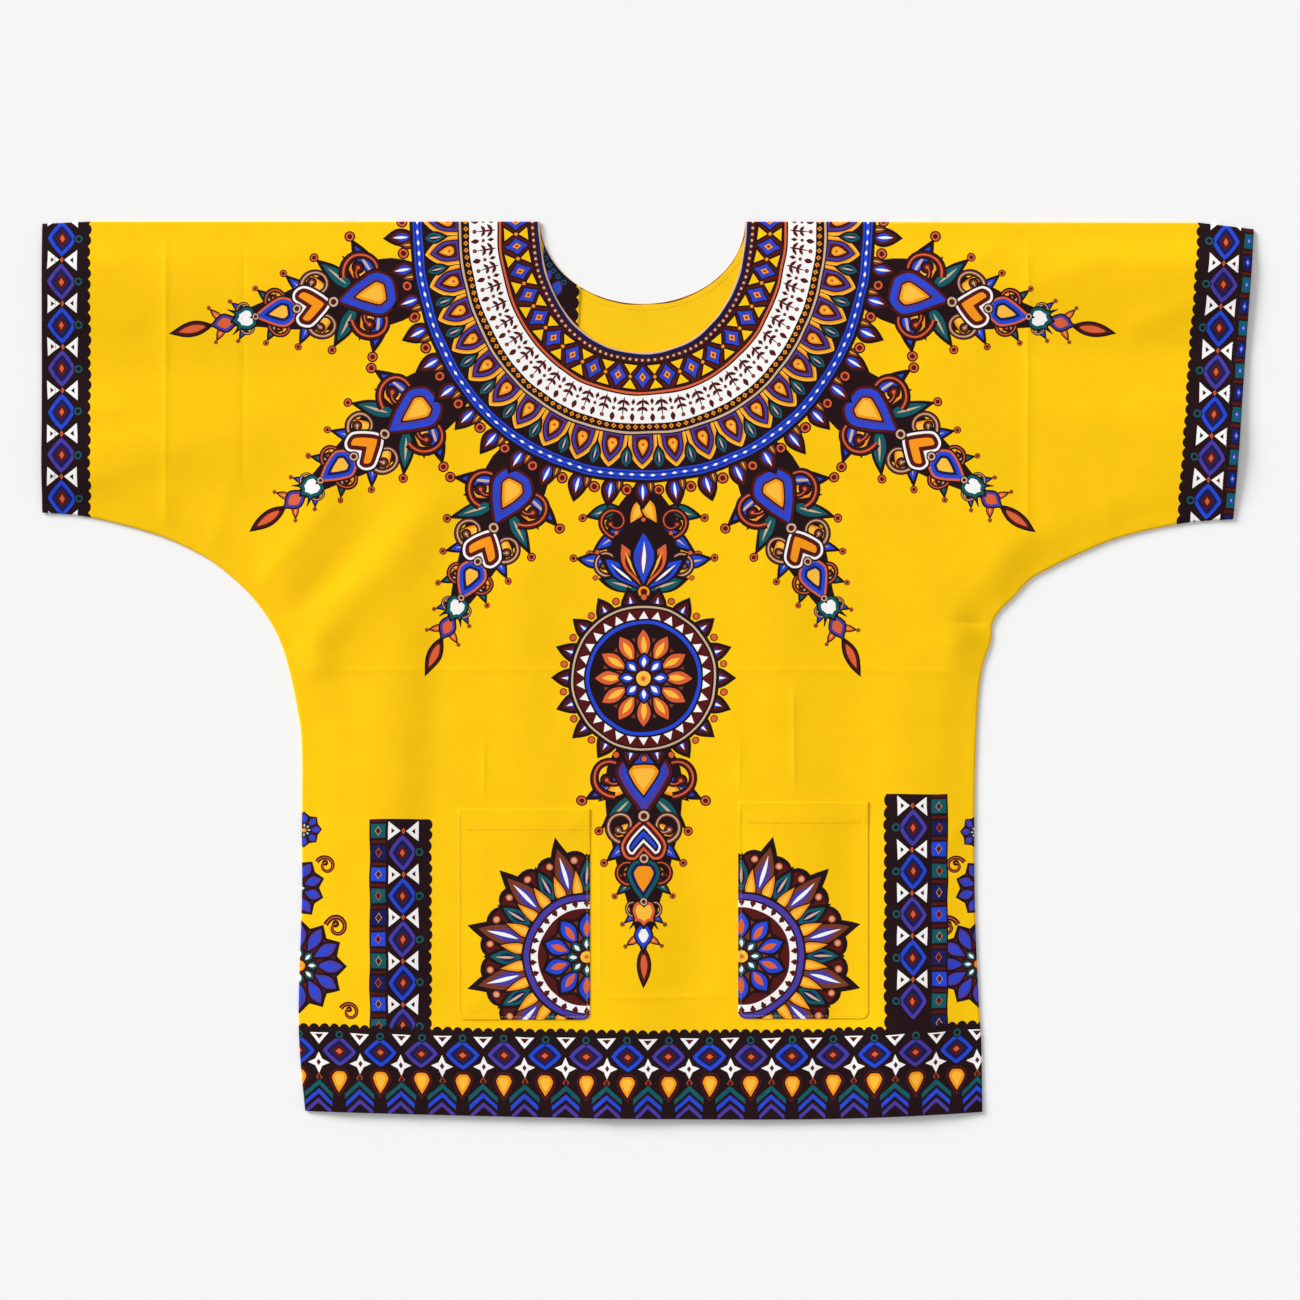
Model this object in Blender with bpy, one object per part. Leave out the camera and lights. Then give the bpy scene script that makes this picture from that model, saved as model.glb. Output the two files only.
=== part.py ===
"""A kimono-cut dashiki shirt laid flat, face up: its back, its front, two patch pockets and the
stretch of neck facing that has rolled out, each a separate wall of cloth. Metres, +Z up, neck
towards +Y, the underside on z = 0, the origin under the middle of the shirt."""

import math

import bmesh
import bpy
import numpy as np
from mathutils import Vector
from mathutils.geometry import delaunay_2d_cdt

MM = 0.001

# Driving sizes, in metres.
SHIRT_LENGTH = 0.829
PANEL_WALL = 0.0012
POCKET_WALL = 0.0010
SEAM_GAP = 0.0003
NECK_CENTRE_X = -0.005
NECK_HALF_WIDTH = 0.0947
FRONT_NECK_DROP = 0.121
BACK_NECK_DROP = 0.076
FRONT_NECK_SQUARENESS = 2.15
BACK_NECK_SQUARENESS = 2.0

# The facing's stretch of the neck points, counted from the right shoulder.
FACING_FROM = 17
FACING_TO = 23

# How loosely the front lies on the back.
LOFT = 0.0022
SEAM_FADE = 0.038
NECK_FADE = 0.045
NECK_LIFT = 0.35

# Spacing of the points that carry each surface.
FRONT_STEP = 0.0175
BACK_STEP = 0.034
EDGE_STEP = 0.0125
NECK_POINTS = 25
GRID_CLEARANCE = 0.55  # share of a step that the grid keeps from an edge
MERGE = 1e-7

# The shirt's edge, in millimetres: "x" from the middle, "drop" down from the shoulder fold.
LEFT_CUFF = (
    # x, drop
    (-517, 0),
    (-560, 2),
    (-560, 269),
)
LEFT_SIDE = (
    # x, drop: under the sleeve, round the underarm and down to the hem
    (-560, 269),
    (-517, 273),
    (-455, 289),
    (-413, 308),
    (-389, 325),
    (-365, 348),
    (-345, 377),
    (-333, 409),
    (-324, 451),
    (-320, 486),
    (-320, 567),
    (-320, 626),
    (-323, 742),
    (-317, 822),
)
HEM = (
    # x, drop
    (-317, 822),
    (-170, 826),
    (-7, 829),
    (173, 829),
    (309, 823),
)
RIGHT_SIDE = (
    # x, drop: up from the hem, with the small tuck at the underarm
    (309, 823),
    (308, 756),
    (306, 728),
    (302, 626),
    (302, 516),
    (305, 443),
    (309, 412),
    (317, 387),
    (318, 373),
    (324, 361),
    (338, 347),
    (353, 331),
    (372, 320),
    (403, 305),
    (439, 291),
    (493, 279),
    (541, 275),
)
RIGHT_CUFF = (
    # x, drop
    (541, 275),
    (560, 7),
    (510, 1),
)

# The patch pockets, in the same millimetres, and how far their lower corners are turned in.
POCKET_CORNER = 7.0
POCKETS = (
    # name, left, right, top, bottom
    ("pocket_left", -175.6, -53.6, 542.4, 737.4),
    ("pocket_right", 83.2, 203.3, 536.0, 736.5),
)

# The largest folds of the front: a line from one point to another in the same millimetres, the
# rise at each end (a trough's is negative) and the half width.
FOLDS = (
    # x0, drop0, x1, drop1, rise0, rise1, half_width
    (-218, 150, -246, 700, 1.4, 3.2, 34),
    (-196, 400, -206, 640, -1.2, -1.6, 20),
    (-118, 330, -112, 600, 2.2, 1.2, 28),
    (-24, 470, -14, 800, 1.4, 2.6, 38),
    (34, 300, 44, 700, -0.8, -1.5, 24),
    (112, 210, 132, 590, 2.6, 1.2, 34),
    (236, 420, 226, 790, 1.2, 3.4, 30),
    (186, 560, 180, 800, -1.4, -1.0, 20),
    (-322, 400, -196, 262, 4.4, 1.4, 24),
    (-352, 356, -262, 176, 3.2, 1.2, 26),
    (-338, 388, -226, 250, -1.6, -0.6, 15),
    (306, 398, 196, 276, 4.2, 1.2, 23),
    (346, 338, 258, 150, 3.0, 1.6, 28),
    (318, 378, 268, 366, -1.8, -0.6, 12),
    (-296, 84, -520, 52, 1.2, 2.6, 30),
    (-344, 196, -548, 222, 1.2, 3.0, 28),
    (-330, 134, -540, 138, -0.9, -1.5, 22),
    (262, 70, 520, 40, 1.4, 3.2, 32),
    (340, 176, 536, 206, 1.0, 2.8, 30),
    (330, 118, 530, 122, -0.8, -1.6, 22),
    (-250, 750, -80, 790, 2.2, 0.8, 22),
    (60, 786, 250, 752, 0.8, 2.4, 24),
    (-90, 190, -170, 90, 0.6, 1.8, 26),
    (84, 186, 170, 84, 0.6, 2.0, 26),
)


def clear_scene():
    for thing in list(bpy.data.objects):
        bpy.data.objects.remove(thing, do_unlink=True)


def cloth_material(name, colour, roughness):
    material = bpy.data.materials.new(name)
    material.use_nodes = True
    surface = material.node_tree.nodes["Principled BSDF"]
    surface.inputs["Base Color"].default_value = (*colour, 1.0)
    surface.inputs["Roughness"].default_value = roughness
    surface.inputs["Metallic"].default_value = 0.0
    material.diffuse_color = (*colour, 1.0)
    return material


# ---------------------------------------------------------------- outlines

def place(x, drop):
    """A point of the tables in the shirt's own frame."""
    return Vector((x * MM, SHIRT_LENGTH / 2 - drop * MM))


def straight_run(rows):
    return [place(*row) for row in rows]


def smooth_run(rows):
    """A soft curve through the rows, with a point about every EDGE_STEP."""
    knots = [place(*row) for row in rows]
    run = [knots[0]]
    for i in range(len(knots) - 1):
        start, end = knots[i], knots[i + 1]
        before = knots[max(i - 1, 0)]
        after = knots[min(i + 2, len(knots) - 1)]
        leave = (end - before) / 2
        arrive = (after - start) / 2
        pieces = max(1, round((end - start).length / EDGE_STEP))
        for k in range(1, pieces + 1):
            t = k / pieces
            run.append(
                start * (2 * t**3 - 3 * t**2 + 1)
                + leave * (t**3 - 2 * t**2 + t)
                + end * (3 * t**2 - 2 * t**3)
                + arrive * (t**3 - t**2)
            )
    return run


def neck_point(angle, drop, squareness):
    """A point of a neckline: angle 0 at the right shoulder, pi at the left one."""
    across, down = math.cos(angle), abs(math.sin(angle))
    reach = math.copysign(abs(across) ** (2 / squareness), across)
    return Vector((
        NECK_CENTRE_X + NECK_HALF_WIDTH * reach,
        SHIRT_LENGTH / 2 - drop * down ** (2 / squareness),
    ))


def neckline(drop, squareness):
    """The neck scoop from the right shoulder to the left one."""
    return [
        neck_point(math.pi * i / (NECK_POINTS - 1), drop, squareness)
        for i in range(NECK_POINTS)
    ]


def shoulder_run(start, end):
    """The shoulder fold from start to end, without its ends."""
    pieces = max(1, round((end - start).length / (2 * EDGE_STEP)))
    return [start.lerp(end, k / pieces) for k in range(1, pieces)]


def body_outline(neck):
    """The T of the shirt, anticlockwise from the left shoulder of its neck scoop."""
    left = straight_run(LEFT_CUFF)
    right = straight_run(RIGHT_CUFF)
    return (
        shoulder_run(neck[-1], left[0])
        + left[:-1]
        + smooth_run(LEFT_SIDE)[:-1]
        + smooth_run(HEM)[:-1]
        + smooth_run(RIGHT_SIDE)[:-1]
        + right
        + shoulder_run(right[-1], neck[0])
        + neck
    )


def sewn_lines():
    """The closed edges, where the front is held down on the back."""
    top_left = place(-NECK_HALF_WIDTH / MM + NECK_CENTRE_X / MM, 0)
    top_right = place(NECK_HALF_WIDTH / MM + NECK_CENTRE_X / MM, 0)
    return (
        [place(*LEFT_CUFF[1]), top_left],
        [top_right, place(*RIGHT_CUFF[1])],
        smooth_run(LEFT_SIDE),
        smooth_run(RIGHT_SIDE),
    )


def pocket_outline(left, right, top, bottom):
    """A pocket, anticlockwise, with its lower corners a little rounded."""
    turn = POCKET_CORNER
    knee = turn * (1 - math.sqrt(0.5))
    rows = (
        (left, top),
        (left, bottom - turn),
        (left + knee, bottom - knee),
        (left + turn, bottom),
        (right - turn, bottom),
        (right - knee, bottom - knee),
        (right, bottom - turn),
        (right, top),
    )
    knots = [place(*row) for row in rows]
    outline = []
    for start, end in zip(knots, knots[1:] + knots[:1]):
        pieces = max(1, round((end - start).length / FRONT_STEP))
        outline += [start.lerp(end, k / pieces) for k in range(pieces)]
    return outline


# ---------------------------------------------------------------- flat triangles

def distance_to_line(points, line):
    """The distance of each point from a run of straight pieces."""
    best = np.full(len(points), np.inf)
    for start, end in zip(line, line[1:]):
        start, end = np.array(start), np.array(end)
        along = end - start
        t = np.clip((points - start) @ along / max(along @ along, 1e-12), 0, 1)
        gap = points - start - t[:, None] * along
        best = np.minimum(best, np.hypot(gap[:, 0], gap[:, 1]))
    return best


def inside(points, outline):
    """Which points lie inside a closed outline."""
    x, y = points[:, 0], points[:, 1]
    count = np.zeros(len(points), int)
    for start, end in zip(outline, outline[1:] + outline[:1]):
        crosses = (start[1] > y) != (end[1] > y)
        rise = end[1] - start[1]
        if rise:
            meets = start[0] + (y - start[1]) / rise * (end[0] - start[0])
            count += crosses & (x < meets)
    return count % 2 == 1


def grid_points(outline, lines, step):
    """A staggered grid inside the outline, clear of it and of the other lines."""
    corners = np.array([tuple(p) for p in outline])
    low, high = corners.min(axis=0), corners.max(axis=0)
    row_step = step * math.sqrt(3) / 2
    rows = int((high[1] - low[1]) / row_step) + 1
    columns = int((high[0] - low[0]) / step) + 2
    grid = np.array([
        (low[0] + (i + 0.5 * (j % 2)) * step, low[1] + j * row_step)
        for j in range(rows)
        for i in range(columns)
    ])
    grid = grid[inside(grid, outline)]
    for line in [outline + outline[:1]] + [inner + inner[:1] for inner in lines]:
        grid = grid[distance_to_line(grid, line) > GRID_CLEARANCE * step]
    return [Vector(p) for p in grid]


def flat_triangles(outline, lines, step):
    """Triangles that fill a flat outline and keep the edges of the lines drawn on it."""
    points = []
    edges = []
    for line in [outline, *lines]:
        first = len(points)
        points += line
        edges += [(first + i, first + (i + 1) % len(line)) for i in range(len(line))]
    points += grid_points(outline, lines, step)
    points, _, faces, *_ = delaunay_2d_cdt(points, edges, [], 0, MERGE)
    flat = np.array([tuple(p) for p in points])
    middles = np.array([flat[list(face)].mean(axis=0) for face in faces])
    kept = [face for face, keep in zip(faces, inside(middles, outline)) if keep]
    return flat, [upward(flat, face) for face in kept]


def upward(flat, face):
    a, b, c = (flat[i] for i in face)
    turn = (b[0] - a[0]) * (c[1] - a[1]) - (b[1] - a[1]) * (c[0] - a[0])
    return tuple(face) if turn > 0 else tuple(reversed(face))


# ---------------------------------------------------------------- heights

def smooth_fade(distance, width):
    t = np.clip(distance / width, 0, 1)
    return t * t * (3 - 2 * t)


def fold_rise(points, x0, drop0, x1, drop1, rise0, rise1, half_width):
    """The height that one fold adds at each point."""
    start, end = np.array(place(x0, drop0)), np.array(place(x1, drop1))
    along = end - start
    t = np.clip((points - start) @ along / (along @ along), 0, 1)
    gap = points - start - t[:, None] * along
    share = np.hypot(gap[:, 0], gap[:, 1]) / (half_width * MM)
    return (rise0 + (rise1 - rise0) * t) * MM * np.exp(-share * share)


def front_rise(points):
    """How far the front stands off its lowest place: loose between the seams, with its folds."""
    rise = LOFT + sum(fold_rise(points, *row) for row in FOLDS)
    sewn = np.min([distance_to_line(points, line) for line in sewn_lines()], axis=0)
    neck = distance_to_line(points, neckline(FRONT_NECK_DROP, FRONT_NECK_SQUARENESS))
    held = NECK_LIFT + (1 - NECK_LIFT) * smooth_fade(neck, NECK_FADE)
    return np.maximum(rise, 0) * smooth_fade(sewn, SEAM_FADE) * held


# ---------------------------------------------------------------- solids

def cloth_wall(name, flat, triangles, underside, wall, material):
    """A closed wall of cloth: the triangles at the underside's heights, and again a wall higher."""
    used = sorted({i for face in triangles for i in face})
    mesh = bmesh.new()
    low = {i: mesh.verts.new((*flat[i], underside[i])) for i in used}
    high = {i: mesh.verts.new((*flat[i], underside[i] + wall)) for i in used}
    sides = set()
    for face in triangles:
        mesh.faces.new([high[i] for i in face])
        mesh.faces.new([low[i] for i in reversed(face)])
        sides |= set(zip(face, face[1:] + face[:1]))
    for a, b in sides:
        if (b, a) not in sides:
            mesh.faces.new((low[a], low[b], high[b], high[a]))
    data = bpy.data.meshes.new(name)
    mesh.to_mesh(data)
    mesh.free()
    data.shade_smooth()
    data.set_sharp_from_angle(angle=math.radians(40))
    data.materials.append(material)
    cloth = bpy.data.objects.new(name, data)
    bpy.context.scene.collection.objects.link(cloth)
    return cloth


def make_back(material):
    outline = body_outline(neckline(BACK_NECK_DROP, BACK_NECK_SQUARENESS))
    flat, triangles = flat_triangles(outline, [], BACK_STEP)
    cloth_wall("back_panel", flat, triangles, np.zeros(len(flat)), PANEL_WALL, material)


def make_front_and_pockets(panel_material, pocket_material):
    """The front, and on it the pockets, made from the front's own points moved up."""
    outline = body_outline(neckline(FRONT_NECK_DROP, FRONT_NECK_SQUARENESS))
    pockets = [(row[0], pocket_outline(*row[1:])) for row in POCKETS]
    flat, triangles = flat_triangles(outline, [edge for _, edge in pockets], FRONT_STEP)
    underside = PANEL_WALL + SEAM_GAP + front_rise(flat)
    cloth_wall("front_panel", flat, triangles, underside, PANEL_WALL, panel_material)
    middles = np.array([flat[list(face)].mean(axis=0) for face in triangles])
    on_top = underside + PANEL_WALL + SEAM_GAP
    for name, edge in pockets:
        patch = [face for face, keep in zip(triangles, inside(middles, edge)) if keep]
        cloth_wall(name, flat, patch, on_top, POCKET_WALL, pocket_material)


def make_neck_facing(material):
    """The rolled-out stretch of facing, between the two necklines on the left side."""
    outer = neckline(FRONT_NECK_DROP, FRONT_NECK_SQUARENESS)[FACING_FROM:FACING_TO]
    inner = neckline(BACK_NECK_DROP, BACK_NECK_SQUARENESS)[FACING_FROM:FACING_TO]
    seam = [edge.lerp(far, SEAM_GAP * 1.5 / (far - edge).length) for edge, far in zip(outer, inner)]
    flat, triangles = flat_triangles(seam[::-1] + inner, [], EDGE_STEP)
    underside = np.full(len(flat), PANEL_WALL + SEAM_GAP)
    cloth_wall("neck_facing", flat, triangles, underside, POCKET_WALL, material)


def main():
    clear_scene()
    make_back(cloth_material("back_cotton", (0.90, 0.52, 0.02), 0.78))
    make_front_and_pockets(
        cloth_material("front_cotton", (0.94, 0.56, 0.02), 0.75),
        cloth_material("pocket_cotton", (0.12, 0.08, 0.30), 0.75),
    )
    make_neck_facing(cloth_material("facing_cotton", (0.03, 0.03, 0.14), 0.75))


main()
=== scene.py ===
"""Looks of a kimono-cut dashiki shirt laid flat, face up, on a pale floor.

Each panel of cloth is a thin closed shell on its solid. Its printed side is cut along the edges of
every inked shape, so the print is part of the cloth. Plan sizes here are in millimetres: x from the
middle of the shirt, and y up, or "drop" down from the shoulder fold. Meshes are in metres."""

import math

import bpy
import numpy as np
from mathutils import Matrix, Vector, noise
from mathutils.bvhtree import BVHTree
from mathutils.geometry import delaunay_2d_cdt
from mathutils.kdtree import KDTree


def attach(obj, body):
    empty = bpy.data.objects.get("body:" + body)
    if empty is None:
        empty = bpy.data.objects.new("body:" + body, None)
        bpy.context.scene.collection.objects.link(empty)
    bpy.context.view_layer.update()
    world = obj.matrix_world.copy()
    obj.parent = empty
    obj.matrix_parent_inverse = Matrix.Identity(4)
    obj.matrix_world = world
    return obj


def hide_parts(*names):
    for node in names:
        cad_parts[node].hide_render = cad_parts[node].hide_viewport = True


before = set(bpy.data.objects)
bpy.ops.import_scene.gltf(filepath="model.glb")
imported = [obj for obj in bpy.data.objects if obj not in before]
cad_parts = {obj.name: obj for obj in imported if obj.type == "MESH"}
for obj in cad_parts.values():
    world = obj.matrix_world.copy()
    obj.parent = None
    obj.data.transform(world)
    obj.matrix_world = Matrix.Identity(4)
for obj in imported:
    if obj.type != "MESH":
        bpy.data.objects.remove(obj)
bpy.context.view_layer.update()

MM = 0.001

# ---------------- the shirt's own sizes

FOLD_Y = 414.5  # the shoulder fold
NECK_X = -5.0
NECK_HALF_WIDTH = 94.7
FRONT_NECK_DROP = 121.0
BACK_NECK_DROP = 76.0
FRONT_SQUARENESS = 2.15
BACK_SQUARENESS = 2.0
NECK_POINTS = 97

BACK_TOP = 1.2  # height of the back panel's upper side
FRONT_TOP = 2.7  # lowest height of the front panel's upper side
FRONT_THICK = 0.85
FLOOR_CLEAR = 0.04
FRONT_SEAM_Z = 1.42
BACK_SEAM_Z = 1.28
LOFT = 2.2  # how far the front stands off the back between its seams
SEAM_FADE = 38.0  # and how far from a seam or the neck it takes to do so
NECK_FADE = 45.0
NECK_LIFT = 0.35  # the share of it that is left at the neck

SEWN_ROLL = 2.4  # how far the cloth takes to roll over at a seam or fold
OPEN_ROLL = 0.9  # and at a hemmed edge
SEWN_REACH = 7.0  # how far along an open edge a seam's roll reaches
EDGE_STEP = 4.0  # between points of an outline
FRONT_GRID = 6.4  # between points of the mesh
PLAIN_GRID = 14.0
SMALL_GRID = 4.0
GRID_CLEAR = 2.2  # and how far they keep from edges
PRINT_STEP = 8.0  # longest side of a printed shape

HEM_DEPTH = 20.0
CUFF_DEPTH = 14.0
NECK_HEM = 7.0
POCKET_HEM = 21.0
POCKET_STITCH = 2.6
ROW_IN = 1.5  # how far inside a hem's depth its row of stitches runs
HEM_RISE = 0.4
GROOVE = 0.32  # how deep a row of stitches draws the cloth in

LEFT_CUFF = ((-517, 0), (-560, 2), (-560, 269))
LEFT_SIDE = (
    # x, drop
    (-560, 269), (-517, 273), (-455, 289), (-413, 308), (-389, 325), (-365, 348), (-345, 377),
    (-333, 409), (-324, 451), (-320, 486), (-320, 567), (-320, 626), (-323, 742), (-317, 822),
)
HEM = ((-317, 822), (-170, 826), (-7, 829), (173, 829), (309, 823))
RIGHT_SIDE = (
    # x, drop
    (309, 823), (308, 756), (306, 728), (302, 626), (302, 516), (305, 443), (309, 412),
    (317, 387), (318, 373), (324, 361), (338, 347), (353, 331), (372, 320), (403, 305),
    (439, 291), (493, 279), (541, 275),
)
RIGHT_CUFF = ((541, 275), (560, 7), (510, 1))

POCKETS = {
    # name: left, right, top, bottom
    "pocket_left": (-175.6, -53.6, 542.4, 737.4),
    "pocket_right": (83.2, 203.3, 536.0, 736.5),
}
POCKET_CORNER = 7.0

FOLDS = (
    # x0, drop0, x1, drop1, rise0, rise1, half_width
    (-218, 150, -246, 700, 1.4, 3.2, 34),
    (-196, 400, -206, 640, -1.2, -1.6, 20),
    (-118, 330, -112, 600, 2.2, 1.2, 28),
    (-24, 470, -14, 800, 1.4, 2.6, 38),
    (34, 300, 44, 700, -0.8, -1.5, 24),
    (112, 210, 132, 590, 2.6, 1.2, 34),
    (236, 420, 226, 790, 1.2, 3.4, 30),
    (186, 560, 180, 800, -1.4, -1.0, 20),
    (-322, 400, -196, 262, 4.4, 1.4, 24),
    (-352, 356, -262, 176, 3.2, 1.2, 26),
    (-338, 388, -226, 250, -1.6, -0.6, 15),
    (306, 398, 196, 276, 4.2, 1.2, 23),
    (346, 338, 258, 150, 3.0, 1.6, 28),
    (318, 378, 268, 366, -1.8, -0.6, 12),
    (-296, 84, -520, 52, 1.2, 2.6, 30),
    (-344, 196, -548, 222, 1.2, 3.0, 28),
    (-330, 134, -540, 138, -0.9, -1.5, 22),
    (262, 70, 520, 40, 1.4, 3.2, 32),
    (340, 176, 536, 206, 1.0, 2.8, 30),
    (330, 118, 530, 122, -0.8, -1.6, 22),
    (-250, 750, -80, 790, 2.2, 0.8, 22),
    (60, 786, 250, 752, 0.8, 2.4, 24),
    (-90, 190, -170, 90, 0.6, 1.8, 26),
    (84, 186, 170, 84, 0.6, 2.0, 26),
)

# Short soft wrinkles of the front.
WRINKLES = (
    # x0, drop0, x1, drop1, rise0, rise1, half_width
    (-356, 330, -300, 268, 0.9, 0.3, 8),
    (-330, 372, -262, 330, 1.1, 0.3, 9),
    (-330, 420, -268, 400, 0.8, 0.2, 8),
    (-322, 462, -276, 455, -0.6, -0.2, 9),
    (-402, 300, -380, 226, 0.7, 0.3, 9),
    (-446, 282, -432, 206, 0.6, 0.3, 8),
    (-545, 60, -478, 92, 0.5, 0.9, 11),
    (-540, 108, -470, 112, -0.5, -0.3, 8),
    (-538, 180, -462, 170, 0.9, 0.4, 10),
    (-535, 246, -470, 226, 0.8, 0.3, 9),
    (-430, 40, -360, 66, 0.7, 0.4, 12),
    (-330, 30, -262, 70, 0.8, 0.5, 12),
    (330, 344, 276, 292, 1.0, 0.3, 8),
    (316, 392, 256, 352, 1.1, 0.3, 8),
    (312, 430, 262, 414, 0.7, 0.2, 8),
    (304, 470, 258, 462, -0.6, -0.2, 9),
    (384, 308, 362, 236, 0.7, 0.3, 9),
    (430, 288, 414, 214, 0.6, 0.3, 8),
    (538, 60, 452, 96, 0.6, 1.0, 12),
    (534, 112, 460, 120, -0.5, -0.3, 8),
    (530, 170, 450, 166, 0.9, 0.4, 10),
    (524, 240, 462, 222, 0.8, 0.3, 9),
    (420, 34, 350, 62, 0.8, 0.4, 12),
    (318, 26, 250, 66, 0.8, 0.5, 12),
    (-300, 560, -252, 600, 0.7, 0.3, 10),
    (-308, 660, -258, 690, 0.8, 0.3, 10),
    (-298, 806, -262, 760, 0.8, 0.3, 9),
    (-212, 818, -204, 770, 0.8, 0.2, 8),
    (-120, 822, -126, 770, 0.7, 0.2, 9),
    (-40, 824, -36, 776, 0.8, 0.2, 8),
    (30, 824, 38, 772, -0.5, -0.2, 8),
    (96, 824, 88, 778, 0.8, 0.2, 9),
    (170, 824, 178, 774, 0.7, 0.2, 8),
    (244, 820, 236, 764, 0.9, 0.3, 9),
    (290, 560, 246, 596, 0.7, 0.3, 10),
    (294, 668, 250, 696, 0.8, 0.3, 10),
    (-60, 420, -92, 520, 0.7, 0.4, 14),
    (70, 420, 92, 520, 0.7, 0.4, 14),
    (-150, 300, -196, 350, 0.6, 0.3, 12),
    (140, 300, 190, 346, 0.6, 0.3, 12),
)

# Sharp creases left by folding and pressing.
PRESSED = (
    # x0, drop0, x1, drop1, rise0, rise1, half_width
    (-445, 5, -446, 284, 1.01, 0.68, 3.0),
    (-373, 14, -374, 250, -0.54, -0.41, 2.6),
    (-151.5, 470, -152, 540, 0.74, 0.68, 2.6),
    (-300, 415, -60, 414, 0.41, 0.27, 2.8),
    (50, 414, 300, 416, 0.27, 0.41, 2.8),
    (134, 420, 135, 532, 0.68, 0.81, 2.6),
    (85, 470, 84, 536, 0.54, 0.68, 2.4),
    (351, 10, 350, 300, 0.94, 0.61, 3.0),
    (270, 369, 318, 372, -0.81, -1.22, 3.4),
    (-50, 717, 80, 716, 0.47, 0.47, 2.6),
    (-45, 560, -44, 716, 0.41, 0.41, 2.4),
)

# ---------------- inks

INKS = {
    # name: red, green, blue as a screen shows them
    "yellow": (252, 199, 12),
    "inside": (250, 200, 22),
    "black": (34, 17, 20),
    "maroon": (82, 22, 22),
    "brown": (116, 56, 38),
    "coral": (218, 96, 54),
    "orange": (248, 150, 26),
    "amber": (255, 190, 62),
    "blue": (36, 70, 204),
    "violet": (72, 58, 156),
    "navy": (24, 28, 84),
    "teal": (16, 88, 96),
    "white": (246, 244, 242),
    "sand": (206, 172, 142),
}


def as_linear(screen):
    shares = np.array(screen) / 255
    return np.where(shares <= 0.04045, shares / 12.92, ((shares + 0.055) / 1.055) ** 2.4)


INK_COLOURS = {name: as_linear(screen) for name, screen in INKS.items()}


# ---------------- outlines

def place(x, drop):
    return np.array((x, FOLD_Y - drop), float)


def straight_run(knots, step):
    """Points about a step apart along straight pieces, both ends included."""
    run = [np.array(knots[0], float)]
    for start, end in zip(knots, knots[1:]):
        pieces = max(1, round(float(np.hypot(*(np.array(end) - start))) / step))
        run += [start + (np.array(end) - start) * k / pieces for k in range(1, pieces + 1)]
    return run


def soft_curve(knots, step):
    """A soft curve through the knots, with points about a step apart."""
    run = [knots[0]]
    for i in range(len(knots) - 1):
        start, end = knots[i], knots[i + 1]
        leave = (end - knots[max(i - 1, 0)]) / 2
        arrive = (knots[min(i + 2, len(knots) - 1)] - start) / 2
        pieces = max(1, round(float(np.hypot(*(end - start))) / step))
        for k in range(1, pieces + 1):
            t = k / pieces
            run.append(
                start * (2 * t**3 - 3 * t**2 + 1)
                + leave * (t**3 - 2 * t**2 + t)
                + end * (3 * t**2 - 2 * t**3)
                + arrive * (t**3 - t**2)
            )
    return run


def smooth_run(rows):
    return soft_curve([place(*row) for row in rows], EDGE_STEP)


def neck_point(angle, drop, squareness, out=0.0):
    """A point of a neckline, or of a ring "out" from it: angle 0 at the right shoulder."""
    across, down = math.cos(angle), math.sin(angle)
    return np.array((
        NECK_X + (NECK_HALF_WIDTH + out) * math.copysign(abs(across) ** (2 / squareness), across),
        FOLD_Y - (drop + out) * math.copysign(abs(down) ** (2 / squareness), down),
    ))


def neckline(drop, squareness):
    return [
        neck_point(math.pi * i / (NECK_POINTS - 1), drop, squareness)
        for i in range(NECK_POINTS)
    ]


FRONT_NECK = neckline(FRONT_NECK_DROP, FRONT_SQUARENESS)
BACK_NECK = neckline(BACK_NECK_DROP, BACK_SQUARENESS)
SIDES = (smooth_run(LEFT_SIDE), smooth_run(RIGHT_SIDE))
HEM_RUN = smooth_run(HEM)
LEFT_CUFF_RUN = straight_run([place(*row) for row in LEFT_CUFF[1:]], EDGE_STEP)
RIGHT_CUFF_RUN = straight_run([place(*row) for row in RIGHT_CUFF[:2]], EDGE_STEP)
LEFT_SHOULDER = straight_run(
    [FRONT_NECK[-1], place(*LEFT_CUFF[0]), place(*LEFT_CUFF[1])], EDGE_STEP
)
RIGHT_SHOULDER = straight_run(
    [place(*RIGHT_CUFF[1]), place(*RIGHT_CUFF[2]), FRONT_NECK[0]], EDGE_STEP
)
SEWN = (LEFT_SHOULDER, RIGHT_SHOULDER, *SIDES)


def body_outline(neck):
    """The T of the shirt, anticlockwise from the left end of its neckline."""
    runs = (LEFT_SHOULDER, LEFT_CUFF_RUN, SIDES[0], HEM_RUN, SIDES[1], RIGHT_CUFF_RUN,
            RIGHT_SHOULDER, neck)
    return [point for run in runs for point in run[:-1]]


def pocket_outline(name):
    left, right, top, bottom = POCKETS[name]
    rows = [(left, top)]
    for x, turn_from in ((left + POCKET_CORNER, 180), (right - POCKET_CORNER, 90)):
        for k in range(7):
            turn = math.radians(turn_from - 15 * k)
            rows.append((x + POCKET_CORNER * math.cos(turn),
                         bottom - POCKET_CORNER + POCKET_CORNER * math.sin(turn)))
    rows += [(right, top), (left, top)]
    return straight_run([place(*row) for row in rows], EDGE_STEP)[:-1]


def left_of(steps):
    """For each step, a step of length 1 to its left."""
    length = np.maximum(np.hypot(steps[:, 0], steps[:, 1]), 1e-9)
    return np.stack([-steps[:, 1], steps[:, 0]], 1) / length[:, None]


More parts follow.
